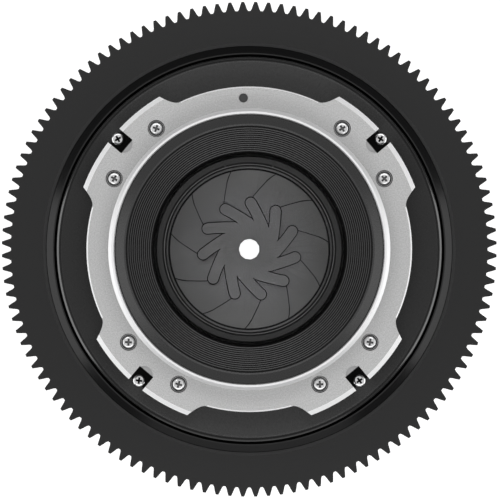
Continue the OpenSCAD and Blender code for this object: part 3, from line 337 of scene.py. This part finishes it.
def turned_black(name, tone, specular):
    """Black anodised over lathe lines that fan the light out."""
    material, tree, bsdf = finish(name, (tone, tone, tone * 1.02), 0.0, 0.27, specular)
    add_turning(tree, bsdf, lines=9000, grain=1500, bump=0.1, rough=(0.23, 0.31))
    bsdf.inputs["Anisotropic"].default_value = 0.85
    bsdf.inputs["Anisotropic Rotation"].default_value = 0.25
    lathe = add_node(tree, "ShaderNodeTangent", direction_type="RADIAL", axis="Z")
    tree.links.new(lathe.outputs[0], bsdf.inputs["Tangent"])
    return material


def burnished_rim():
    """The rear cap's rounded edge, rubbed smooth."""
    material, tree, bsdf = finish("burnished rim", (0.004, 0.004, 0.0041), 0.0, 0.16, specular=1.0)
    add_turning(tree, bsdf, lines=6000, grain=3000, bump=0.03, rough=(0.13, 0.19))
    bsdf.inputs["Coat Weight"].default_value = 1.0
    bsdf.inputs["Coat Roughness"].default_value = 0.12
    return material


def coated_glass():
    """Coated optical glass: little glare, and clear to shadow rays so light reaches the iris."""
    material, tree, bsdf = finish("coated glass", (1.0, 1.0, 1.0), 0.0, 0.0, specular=0.03)
    bsdf.inputs["Transmission Weight"].default_value = 1.0
    bsdf.inputs["IOR"].default_value = 1.5
    bsdf.inputs["Specular Tint"].default_value = (0.05, 0.05, 0.06, 1)
    path = add_node(tree, "ShaderNodeLightPath")
    clear = add_node(tree, "ShaderNodeBsdfTransparent")
    shown = mix_shaders(tree, path.outputs["Is Shadow Ray"], bsdf.outputs[0], clear.outputs[0])
    tree.links.new(shown, tree.nodes["Material Output"].inputs["Surface"])
    return material


# One finish for each material slot of the record
FINISHES = {
    "satin_steel": satin_steel(),
    "bright_steel": grained("bright steel", (0.8, 0.8, 0.805), 1.0, 0.14),
    "brass": grained("brass", (0.5, 0.36, 0.15), 1.0, 0.35),
    "black_anodised": grained("black anodised", (0.004, 0.004, 0.0042), 0.0, 0.2, specular=0.44,
                              bump=0.1, above=0.06),
    "matt_black": grained("matt black", (0.016, 0.016, 0.0165), 0.0, 0.6, specular=0.4,
                          lines=5000, grain=2500, bump=0.1, below=0.08, above=0.08),
    "optical_glass": coated_glass(),
    "plain_aluminium": grained("plain aluminium", (0.55, 0.55, 0.56), 1.0, 0.4,
                               lines=5000, grain=2500, bump=0.15, below=0.08, above=0.1),
    "slide_plastic": grained("slide plastic", (0.7, 0.68, 0.6), 0.0, 0.5),
    "blade_steel": blade_steel(),
}

# The mount: the flange's bevels and end, a painted highlight on the outer bevels, and painted shade on
# the sunk floors and in the screw recesses
POLISHED = grained("polished steel", (0.74, 0.74, 0.745), 1.0, 0.42)
# near-white bevels: a painted highlight
BEVEL_HIGHLIGHT = grained("painted bevel highlight", (0.9, 0.9, 0.905), 0.3, 0.45)
# darker steel on the counterbore floors and the ledges: painted shade
SHADED_FLOOR = grained("painted shade floor", (0.34, 0.34, 0.342), 1.0, 0.42)
# dark steel inside the cross recesses: painted shade
RECESS_SHADE = grained("painted recess shade", (0.11, 0.11, 0.111), 1.0, 0.4)

# Black faces: the rubbed rim, an inner edge lightened as a painted highlight, the throat's mouth, dull
# shoulders, and black for painted shade in the depths
BURNISHED = burnished_rim()
# a lighter black on the iris ring's inner edge: painted highlight
EDGE_HIGHLIGHT = grained("painted edge highlight", (0.036, 0.036, 0.0364), 0.0, 0.4)
MOUTH = grained("mouth black", (0.008, 0.008, 0.0082), 0.0, 0.27, specular=0.62,
                lines=5000, grain=2500, bump=0.08, below=0.05, above=0.06)
DULL = grained("dull turned black", (0.004, 0.004, 0.0041), 0.0, 0.27, specular=0.22)
SHADE = grained("shade black", (0.003, 0.003, 0.003), 0.0, 0.8, specular=0.1)

# The glass seat, grey round the edge of the glass: painted light
SEAT_LIGHT = grained("seat painted light grey", (0.32, 0.32, 0.322), 0.0, 0.5,
               lines=5000, grain=2500, bump=0.1, below=0.1, above=0.1)

# Borders of the blades, painted shadow: black round the fingers, fainter along the outer edges
BLADE_EDGE_SHADOW = grained("painted blade edge shadow", (0.02, 0.02, 0.0201), 0.0, 0.6, specular=0.2)
BLADE_LINE_SHADOW = grained("faint painted blade edge shadow", (0.07, 0.07, 0.0703), 0.3, 0.55, specular=0.3)

# Paint in the engravings, and a dark disc in the index dimple
WHITE = grained("white engraving fill", (0.75, 0.75, 0.74), 0.0, 0.6)
AMBER = grained("amber engraving fill", (0.7, 0.32, 0.03), 0.0, 0.6)
INDEX = grained("index dark disc", (0.05, 0.05, 0.051), 0.0, 0.5)

# Solids whose finish differs from that of their slot
OWN_FINISH = {
    "rear_cap": turned_black("turned black", tone=0.004, specular=0.5),
    # rib tops in a lighter black beside the painted shade in the cuts: a painted highlight
    "rear_baffle": turned_black("rib black", tone=0.023, specular=0.56),
    "flange_shim": grained("shim steel", (0.1, 0.1, 0.101), 1.0, 0.5),
    "rear_retaining_ring": grained("ring black", (0.03, 0.03, 0.0303), 0.0, 0.34, specular=0.7,
                                   lines=5000, grain=2500, bump=0.1, above=0.06),
    # the rear cell in grey: painted light
    "rear_cell": SEAT_LIGHT,
    "iris_clip_ring": FINISHES["black_anodised"],
}


def within(value, span):
    return span[0] < value < span[1]


def paint_faces(node, material, facing=ANY, radius=ANY, height=ANY):
    """Gives a finish to a solid's faces by the normal's share along the axis, and by place."""
    mesh = NODES[node].data
    if mesh.materials.find(material.name) < 0:
        mesh.materials.append(material)
    index = mesh.materials.find(material.name)
    for face in mesh.polygons:
        out = face.center.xy.length / MM
        if within(face.normal.z, facing) and within(out, radius) and within(face.center.z / MM, height):
            face.material_index = index


def dress_solids():
    for entry in frame["record"]["subparts"]:
        mesh = NODES[entry["node"]].data
        mesh.materials.clear()
        mesh.materials.append(OWN_FINISH.get(entry["node"], FINISHES[entry["material_slot"]]))


def paint_flange():
    leaning = (0.3, 0.95)
    paint_faces("mount_flange", POLISHED, facing=leaning)
    paint_faces("mount_flange", POLISHED, height=(FLANGE_TOP.z - 0.1, math.inf))
    # painted highlight: near-white colour on the leaning faces of the outer edge and the tabs
    paint_faces("mount_flange", BEVEL_HIGHLIGHT, facing=leaning, radius=(29, math.inf))
    # painted shade: darker steel on the sunk floors of the counterbores and ledges
    paint_faces("mount_flange", SHADED_FLOOR, facing=(0.95, math.inf), height=(-1.3, -0.5))


def paint_rear_rim():
    """The rim is rubbed where it leans most and dull on its shoulder."""
    paint_faces("rear_cap", BURNISHED, facing=(0.6, 0.86))
    paint_faces("rear_cap", DULL, facing=(0.86, 0.985))


def paint_throat():
    """Painted shade in the cuts between the ribs, a bright mouth, painted shade on the inner wall, and a
    dull groove darkened as painted shade.
    """
    ribs_out_r = 23.4
    # painted shade in the cuts between the ribs
    paint_faces("rear_baffle", SHADE, facing=(0.3, 0.998), radius=(0, ribs_out_r))
    paint_faces("rear_baffle", MOUTH, facing=(-math.inf, 0.99), radius=(ribs_out_r, math.inf))
    # painted shade on the throat's inner wall
    paint_faces("rear_baffle", SHADE, facing=(-math.inf, 0.3), radius=(0, 19.5))
    # painted shade: the groove in a darker, duller black
    painted_shade_band = (MOUTH_TOP_Z - 1.15, MOUTH_TOP_Z - 0.77)
    paint_faces("rear_baffle", DULL, radius=(22.5, math.inf), height=painted_shade_band)


def paint_iris_ring():
    """A painted highlight on the inner edge, and painted shade on the bottom of the gap inside the
    sloped collar.
    """
    # painted highlight on the inner bevel of the iris ring
    paint_faces("iris_ring", EDGE_HIGHLIGHT, facing=(0.9, 0.995), radius=(0, 41))
    # painted shade: black on the bottom of the gap inside the collar
    paint_faces("iris_clip_ring", SHADE, height=(-math.inf, COLLAR_TOP_Z - 1.25))


# Modelling helpers

def deselect():
    bpy.ops.object.select_all(action="DESELECT")


def pick_faces(obj, wanted):
    """Selects in edit mode the faces that answer to a test."""
    bpy.ops.mesh.select_mode(type="FACE")
    bpy.ops.mesh.select_all(action="DESELECT")
    bpy.ops.object.mode_set(mode="OBJECT")
    for face in obj.data.polygons:
        face.select = wanted(face)
    bpy.ops.object.mode_set(mode="EDIT")


def round_axis(angle, radius=0.0, z=0.0):
    """A place at an angle round the optical axis."""
    return Matrix.Rotation(math.radians(angle), 4, "Z") @ Matrix.Translation((radius * MM, 0, z * MM))


def on_barrel(angle, radius, z):
    """A place on a barrel: x along the turn, y up the axis, z outwards."""
    side = Matrix(((0, 0, 1, 0), (1, 0, 0, 0), (0, 1, 0, 0), (0, 0, 0, 1)))
    return round_axis(angle, radius, z) @ side


def place(obj, matrix):
    """Puts an object's place into its mesh and leaves it at the origin."""
    obj.matrix_world = matrix
    deselect()
    obj.select_set(True)
    bpy.context.view_layer.objects.active = obj
    bpy.ops.object.transform_apply(location=True, rotation=True, scale=True)


def copy_of(obj):
    """A copy with a mesh of its own."""
    copy = obj.copy()
    copy.data = obj.data.copy()
    bpy.context.collection.objects.link(copy)
    return copy


def join_pieces(name, pieces, material, body):
    """Joins objects into one piece, with its finish, body and slot."""
    deselect()
    for piece in pieces:
        piece.select_set(True)
    bpy.context.view_layer.objects.active = pieces[0]
    if len(pieces) > 1:
        bpy.ops.object.join()
    obj = bpy.context.object
    obj.name = name
    obj.data.materials.clear()
    obj.data.materials.append(material)
    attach(obj, body)
    return obj


def eased_block(sizes):
    """A small block with eased edges."""
    deselect()
    bpy.ops.mesh.primitive_cube_add(size=1)
    obj = bpy.context.object
    bpy.ops.object.mode_set(mode="EDIT")
    bpy.ops.mesh.select_all(action="SELECT")
    bpy.ops.transform.resize(value=[size * MM for size in sizes])
    bpy.ops.mesh.bevel(offset=EDGE_EASE * MM, segments=1)
    bpy.ops.object.mode_set(mode="OBJECT")
    return obj


def spun_solid(profile, steps=SPIN_STEPS):
    """A turned solid: a profile of (radius, height) points, spun round the axis."""
    deselect()
    bpy.ops.mesh.primitive_plane_add(size=MM, location=(0, 0, 0))
    obj = bpy.context.object
    bpy.ops.object.mode_set(mode="EDIT")
    bpy.ops.mesh.select_mode(type="VERT")
    bpy.ops.mesh.select_all(action="SELECT")
    bpy.ops.mesh.merge(type="CENTER")
    last = (0.0, 0.0)
    for i, point in enumerate(profile):
        move = ((point[0] - last[0]) * MM, 0, (point[1] - last[1]) * MM)
        if i:
            bpy.ops.mesh.extrude_vertices_move(TRANSFORM_OT_translate={"value": move})
        else:
            bpy.ops.transform.translate(value=move)
        last = point
    bpy.ops.mesh.select_all(action="SELECT")
    bpy.ops.mesh.spin(steps=steps, angle=math.tau, center=(0, 0, 0), axis=(0, 0, 1))
    bpy.ops.mesh.select_all(action="SELECT")
    bpy.ops.mesh.remove_doubles(threshold=WELD * MM)
    bpy.ops.mesh.normals_make_consistent(inside=False)
    bpy.ops.object.mode_set(mode="OBJECT")
    bpy.ops.object.shade_smooth_by_angle(angle=math.radians(TURNED_SMOOTH))
    return obj


# Glass

def surface(curve, r_from, r_to, z_at_axis):
    """Points of a glass surface from one radius to another."""
    points = []
    for i in range(GLASS_POINTS + 1):
        r = r_from + (r_to - r_from) * i / GLASS_POINTS
        drop = abs(curve) - math.sqrt(curve * curve - r * r)
        points.append((r, z_at_axis - math.copysign(drop, curve)))
    return points


def glass_elements():
    """Smooth ground elements in place of the plain glass solids."""
    for node, radius, body, (front, front_z, front_reach), (rear, rear_z, rear_reach) in GLASS:
        lower = surface(front, 0, front_reach, front_z)
        upper = surface(rear, rear_reach, 0, rear_z)
        edge = [(radius, end[1]) for end in (lower[-1], upper[0]) if end[0] < radius - 0.1]
        solid = spun_solid(lower + edge + upper)
        piece = join_pieces(node + "_ground", [solid], FINISHES["optical_glass"], body)
        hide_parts(node)


# Iris blades

def border_shadow(face, blade):
    """A blade's border of painted shadow: dark round its finger, fainter along its outer edges, else
    plain.
    """
    turn = Matrix.Rotation(math.radians(FINGER_ANGLE + 360 * (blade - 1) / BLADE_COUNT), 2)
    finger_end = turn @ Vector((FINGER_R * MM, 0))
    out = face.center.xy.length / MM
    along = (face.center.xy - finger_end).length / MM
    on_finger = INNER_LINE_R < out < OUTER_LINE_R and along < FINGER_LENGTH
    if on_finger or along < FINGER_END:
        return 1
    return 2 if out > OUTER_LINE_R else 0


def iris_blades():
    """Blades with a border of painted shadow, made from copies of the plain sheets."""
    for k in range(1, BLADE_COUNT + 1):
        node = "iris_blade_%02d" % k
        obj = copy_of(NODES[node])
        deselect()
        obj.select_set(True)
        bpy.context.view_layer.objects.active = obj
        bpy.ops.object.mode_set(mode="EDIT")
        bpy.ops.mesh.select_all(action="SELECT")
        bpy.ops.mesh.remove_doubles(threshold=BLADE_WELD * MM)
        pick_faces(obj, lambda face: face.normal.z > 0.8)
        bpy.ops.mesh.inset(thickness=SHADOW_BORDER_WIDTH * MM, use_boundary=True, use_even_offset=True)
        bpy.ops.object.mode_set(mode="OBJECT")
        join_pieces(node + "_bordered", [obj], FINISHES["blade_steel"], "blade_%02d" % k)
        # painted shadow on the blade borders, dark and faint
        obj.data.materials.append(BLADE_EDGE_SHADOW)
        obj.data.materials.append(BLADE_LINE_SHADOW)
        for face in obj.data.polygons:
            face.material_index = 0 if face.select else border_shadow(face, k)
        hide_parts(node)


# Mount

def cross_arm(top, turn):
    """A tapered arm that cuts half of a cross recess."""
    deselect()
    bpy.ops.mesh.primitive_cube_add(size=1, location=(0, 0, top * MM))
    arm = bpy.context.object
    bpy.ops.object.mode_set(mode="EDIT")
    bpy.ops.mesh.select_all(action="SELECT")
    bpy.ops.transform.resize(value=[size * MM for size in ARM])
    pick_faces(arm, lambda face: face.normal.z < -0.9)
    bpy.ops.transform.resize(value=ARM_TAPER)
    bpy.ops.object.mode_set(mode="OBJECT")
    arm.rotation_euler = (0, 0, math.radians(turn))
    bpy.ops.object.transform_apply(location=True, rotation=True, scale=True)
    return arm


def cross_head_screw(top, shank):
    """One small screw: a domed head with a cross recess, and its shank."""
    deselect()
    bpy.ops.mesh.primitive_cylinder_add(vertices=48, radius=HEAD_R * MM, depth=HEAD_H * MM,
                                        location=(0, 0, (top - HEAD_H / 2) * MM))
    screw = bpy.context.object
    bpy.ops.object.transform_apply(location=True, rotation=False, scale=False)
    bpy.ops.object.mode_set(mode="EDIT")
    pick_faces(screw, lambda face: face.normal.z > 0.9)
    bpy.ops.mesh.bevel(offset=HEAD_ROUND * MM, segments=6, affect="EDGES")
    pick_faces(screw, lambda face: face.normal.z < -0.9)
    bpy.ops.mesh.inset(thickness=(HEAD_R - SHANK_R) * MM)
    bpy.ops.mesh.extrude_region_move(TRANSFORM_OT_translate={"value": (0, 0, -shank * MM)})
    bpy.ops.object.mode_set(mode="OBJECT")
    arms = [cross_arm(top, turn) for turn in (0, 90)]
    for arm in arms:
        cut = screw.modifiers.new("recess", "BOOLEAN")
        cut.operation = "DIFFERENCE"
        cut.object = arm
        deselect()
        bpy.context.view_layer.objects.active = screw
        screw.select_set(True)
        bpy.ops.object.modifier_apply(modifier=cut.name)
    for arm in arms:
        bpy.data.objects.remove(arm)
    bpy.ops.object.shade_smooth_by_angle(angle=math.radians(SCREW_SMOOTH))
    return screw


def cross_head_screws(name, node, places):
    """Screws in place of a node's, each with its own turn of the cross and painted shade in its recess.
    """
    low, high = box_mm(node)
    first = cross_head_screw(high.z, high.z - low.z - HEAD_H)
    pieces = []
    for i, (radius, angle) in enumerate(places):
        screw = copy_of(first)
        place(screw, round_axis(angle, radius) @ round_axis(FIRST_TURN + NEXT_TURN * i))
        pieces.append(screw)
    bpy.data.objects.remove(first)
    obj = join_pieces(name, pieces, FINISHES["bright_steel"], "barrel")
    # painted shade on the faces sunk inside each cross recess
    obj.data.materials.append(RECESS_SHADE)
    axes = [round_axis(angle, radius).translation.xy for radius, angle in places]
    for face in obj.data.polygons:
        sunk = high.z - face.center.z / MM
        off_axis = min((face.center.xy - axis).length for axis in axes) / MM
        if within(sunk, RECESS_DEPTH) and off_axis < RECESS_R:
            face.material_index = 1
    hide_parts(node)


def counterbore_shadow_rings():
    """Two fine black rings of painted shadow round each flange screw, on the floor of its counterbore.
    """
    foot, crown = COUNTERBORE_Z - 0.01, COUNTERBORE_Z + 0.03
    pieces = []
    for r in SHADOW_RING_RADII:
        ring = spun_solid([(r, foot), (r + SHADOW_RING_W, foot), (r + SHADOW_RING_W * 0.8, crown),
                           (r + SHADOW_RING_W * 0.2, crown), (r, foot)], steps=SHADOW_RING_STEPS)
        for radius, angle in FLANGE_PLACES:
            painted_shade_band = copy_of(ring)
            place(painted_shade_band, round_axis(angle, radius))
            pieces.append(painted_shade_band)
        bpy.data.objects.remove(ring)
    # painted shadow rings in the shade black
    join_pieces("counterbore_shadow_rings", pieces, SHADE, "barrel")


def notch_shades():
    """Black pads of painted shade on the rear face, deep under the four notches."""
    pieces = []
    for tab in TABS:
        pad = eased_block(NOTCH_PAD)
        place(pad, round_axis(tab, NOTCH_PAD_R, REAR_FACE_Z + 0.03))
        pieces.append(pad)
    join_pieces("notch_shades", pieces, SHADE, "barrel")


def index_dark_disc():
    """A dark disc in the index dimple."""
    deselect()
    bpy.ops.mesh.primitive_cylinder_add(vertices=48, radius=INDEX_DISC_R * MM, depth=INDEX_DISC_T * MM)
    obj = bpy.context.object
    bpy.ops.object.mode_set(mode="EDIT")
    bpy.ops.mesh.select_all(action="SELECT")
    bpy.ops.mesh.bevel(offset=0.03 * MM, segments=2)
    bpy.ops.object.mode_set(mode="OBJECT")
    place(obj, Matrix.Translation(round_axis(INDEX_ANGLE, INDEX_R, INDEX_Z).translation))
    join_pieces("index_dark_disc", [obj], INDEX, "barrel")


# Rings inside the two ends

def retaining_ring_beads():
    """A fine bead on the retaining ring's inner slope, grey as a painted highlight."""
    half = BEAD_W / 2
    z = RING_TOP.z - (RING_FACE_R - BEAD_R)
    foot = (BEAD_R - half, z - half)
    bead = spun_solid([foot, (BEAD_R + half, z + half), (BEAD_R - half, z + half), foot])
    # painted highlight: the bead in the seat's grey
    join_pieces("retaining_ring_beads", [bead], SEAT_LIGHT, "barrel")


def filter_thread():
    """Ridges of the filter thread, inside the front rim."""
    ridges = [(THREAD_R + THREAD_SINK, THREAD_Z)]
    for i in range(THREAD_TURNS):
        z = THREAD_Z + THREAD_PITCH * i
        ridges.append((THREAD_R, z))
        ridges.append((THREAD_R - THREAD_RISE, z + THREAD_PITCH / 2))
    ridges.append((THREAD_R + THREAD_SINK, THREAD_Z + THREAD_PITCH * THREAD_TURNS))
    ridges.append(ridges[0])
    thread = spun_solid(ridges)
    join_pieces("filter_thread_ridges", [thread], FINISHES["black_anodised"], "barrel")


# Scales

def numeral(text, size, angle, radius, z):
    deselect()
    bpy.ops.object.text_add()
    obj = bpy.context.object
    obj.data.body = text
    obj.data.size = size * MM
    obj.data.align_x = "CENTER"
    obj.data.align_y = "CENTER"
    obj.data.extrude = MARK_HALF * MM
    obj.data.resolution_u = 3
    bpy.ops.object.convert(target="MESH")
    obj = bpy.context.object
    place(obj, on_barrel(angle, radius - MARK_SINK, z))
    return obj


def scale_line(line, angle, radius, z):
    obj = eased_block((*line, 2 * MARK_HALF))
    place(obj, on_barrel(angle, radius - MARK_SINK, z))
    return obj


def iris_scale():
    """Stops with lines between them at each third, on both sides."""
    step = STOP_SWEEP / (len(STOPS) - 1)
    for side, start in SCALE_SIDES:
        pieces = []
        for i, stop in enumerate(STOPS):
            angle = start + STOP_SWEEP - step * i
            pieces.append(numeral(stop, STOP_SIZE, angle, BAND_R, STOP_Z))
            pieces.append(scale_line(STOP_LINE, angle, BAND_R, STOP_LINE_Z))
            if i:
                for third in (1, 2):
                    turn = angle + step * third / 3
                    pieces.append(scale_line(THIRD_LINE, turn, BAND_R, THIRD_LINE_Z))
        join_pieces("iris_scale_" + side, pieces, WHITE, "iris_control")


def focus_scale():
    """Distances in metres; the turn goes with the reciprocal of the distance."""
    for side, start in SCALE_SIDES:
        pieces = []
        for distance in DISTANCES:
            angle = start - FOCUS_SWEEP * float(DISTANCES[0]) / float(distance)
            pieces.append(numeral(distance, DISTANCE_SIZE, angle, BAND_R, FOCUS_BAND_Z))
            pieces.append(scale_line(FOCUS_LINE, angle, BAND_R, FOCUS_LINE_Z))
        join_pieces("focus_scale_" + side, pieces, WHITE, "focus_control")


def witness_marks():
    """A long mark on each side of the fixed ring, with depth-of-field marks beside it."""
    ring_r = WITNESS_TOP.x
    pieces = [scale_line(WITNESS_LINE, start, ring_r, WITNESS_Z) for side, start in SCALE_SIDES]
    for side, start in SCALE_SIDES:
        for offset in DEPTH_MARKS:
            for angle in (start - offset, start + offset):
                pieces.append(scale_line(DEPTH_LINE, angle, ring_r, DEPTH_LINE_Z))
    join_pieces("witness_marks", pieces, AMBER, "barrel")


# Stage, light and camera

def white_for_view(tree):
    """1 for rays that show the background: from the camera, mirrored or through glass."""
    path = add_node(tree, "ShaderNodeLightPath")
    seen = math_node(tree, "MAXIMUM", path.outputs["Is Camera Ray"], path.outputs["Is Glossy Ray"])
    return math_node(tree, "MAXIMUM", seen, path.outputs["Is Transmission Ray"])


def pale_floor():
    """A pale floor that shows white and is clear from below; it glows more under the lens, painted light
    where the lens shades it.
    """
    deselect()
    bpy.ops.mesh.primitive_circle_add(vertices=96, radius=FLOOR_R, fill_type="NGON",
                                      location=(0, 0, FLOOR_Z * MM - FLOOR_DROP))
    floor = bpy.context.object
    floor.name = "floor"
    material, tree, bsdf = finish("pale floor", (0.8, 0.8, 0.8), 0.0, 0.9, specular=0.1)
    coords = add_node(tree, "ShaderNodeTexCoord")
    from_axis = add_node(tree, "ShaderNodeVectorMath", operation="LENGTH")
    tree.links.new(coords.outputs["Object"], from_axis.inputs[0])
    glow = add_node(tree, "ShaderNodeEmission")
    # painted light: strongest glow under the lens, where its shadow falls
    strength = map_range(tree, from_axis.outputs["Value"], GLOW_SPAN, (GLOW_UNDER, GLOW_AROUND))
    tree.links.new(strength, glow.inputs["Strength"])
    both = add_node(tree, "ShaderNodeAddShader")
    tree.links.new(bsdf.outputs[0], both.inputs[0])
    tree.links.new(glow.outputs[0], both.inputs[1])
    shown = mix_shaders(tree, white_for_view(tree), bsdf.outputs[0], both.outputs[0])
    sides = add_node(tree, "ShaderNodeNewGeometry")
    clear = add_node(tree, "ShaderNodeBsdfTransparent")
    one_sided = mix_shaders(tree, sides.outputs["Backfacing"], shown, clear.outputs[0])
    tree.links.new(one_sided, tree.nodes["Material Output"].inputs["Surface"])
    floor.data.materials.append(material)


def studio_world():
    """Even studio light that falls off towards the horizon."""
    world = bpy.data.worlds.new("studio")
    bpy.context.scene.world = world
    world.use_nodes = True
    tree = world.node_tree
    coords = add_node(tree, "ShaderNodeTexCoord")
    split = add_node(tree, "ShaderNodeSeparateXYZ")
    tree.links.new(coords.outputs["Generated"], split.inputs[0])
    level = map_range(tree, split.outputs[2], WORLD_SPAN, (WORLD_SIDE, WORLD_TOP), "SMOOTHSTEP")
    light = tree.nodes["Background"]
    light.inputs["Color"].default_value = (1, 1, 1, 1)
    tree.links.new(level, light.inputs["Strength"])


def softbox(name, place_at, target, size, power):
    deselect()
    bpy.ops.object.light_add(type="AREA", location=place_at)
    lamp = bpy.context.object
    lamp.name = name
    lamp.data.shape = "RECTANGLE"
    lamp.data.size, lamp.data.size_y = size
    lamp.data.energy = power
    lamp.rotation_euler = (Vector(target) - Vector(place_at)).to_track_quat("-Z", "Y").to_euler()


def camera():
    """Straight down the axis, one metre above the rear gear."""
    bpy.ops.object.camera_add(location=(0, 0, CAMERA_Z), rotation=(0, 0, 0))
    cam = bpy.context.object
    cam.data.sensor_width = CAMERA_SENSOR
    cam.data.lens = CAMERA_LENS
    cam.data.shift_x, cam.data.shift_y = CAMERA_SHIFT
    bpy.context.scene.camera = cam


dress_solids()
paint_flange()
paint_rear_rim()
paint_throat()
paint_iris_ring()

glass_elements()
iris_blades()
cross_head_screws("flange_cross_screws", "flange_screws", FLANGE_PLACES)
cross_head_screws("barrel_cross_screws", "barrel_screws", BARREL_PLACES)
counterbore_shadow_rings()
notch_shades()
retaining_ring_beads()
filter_thread()
iris_scale()
focus_scale()
witness_marks()
index_dark_disc()

pale_floor()
studio_world()
for box in SOFTBOXES:
    softbox(*box)
camera()
bpy.context.scene.view_settings.view_transform = "Standard"
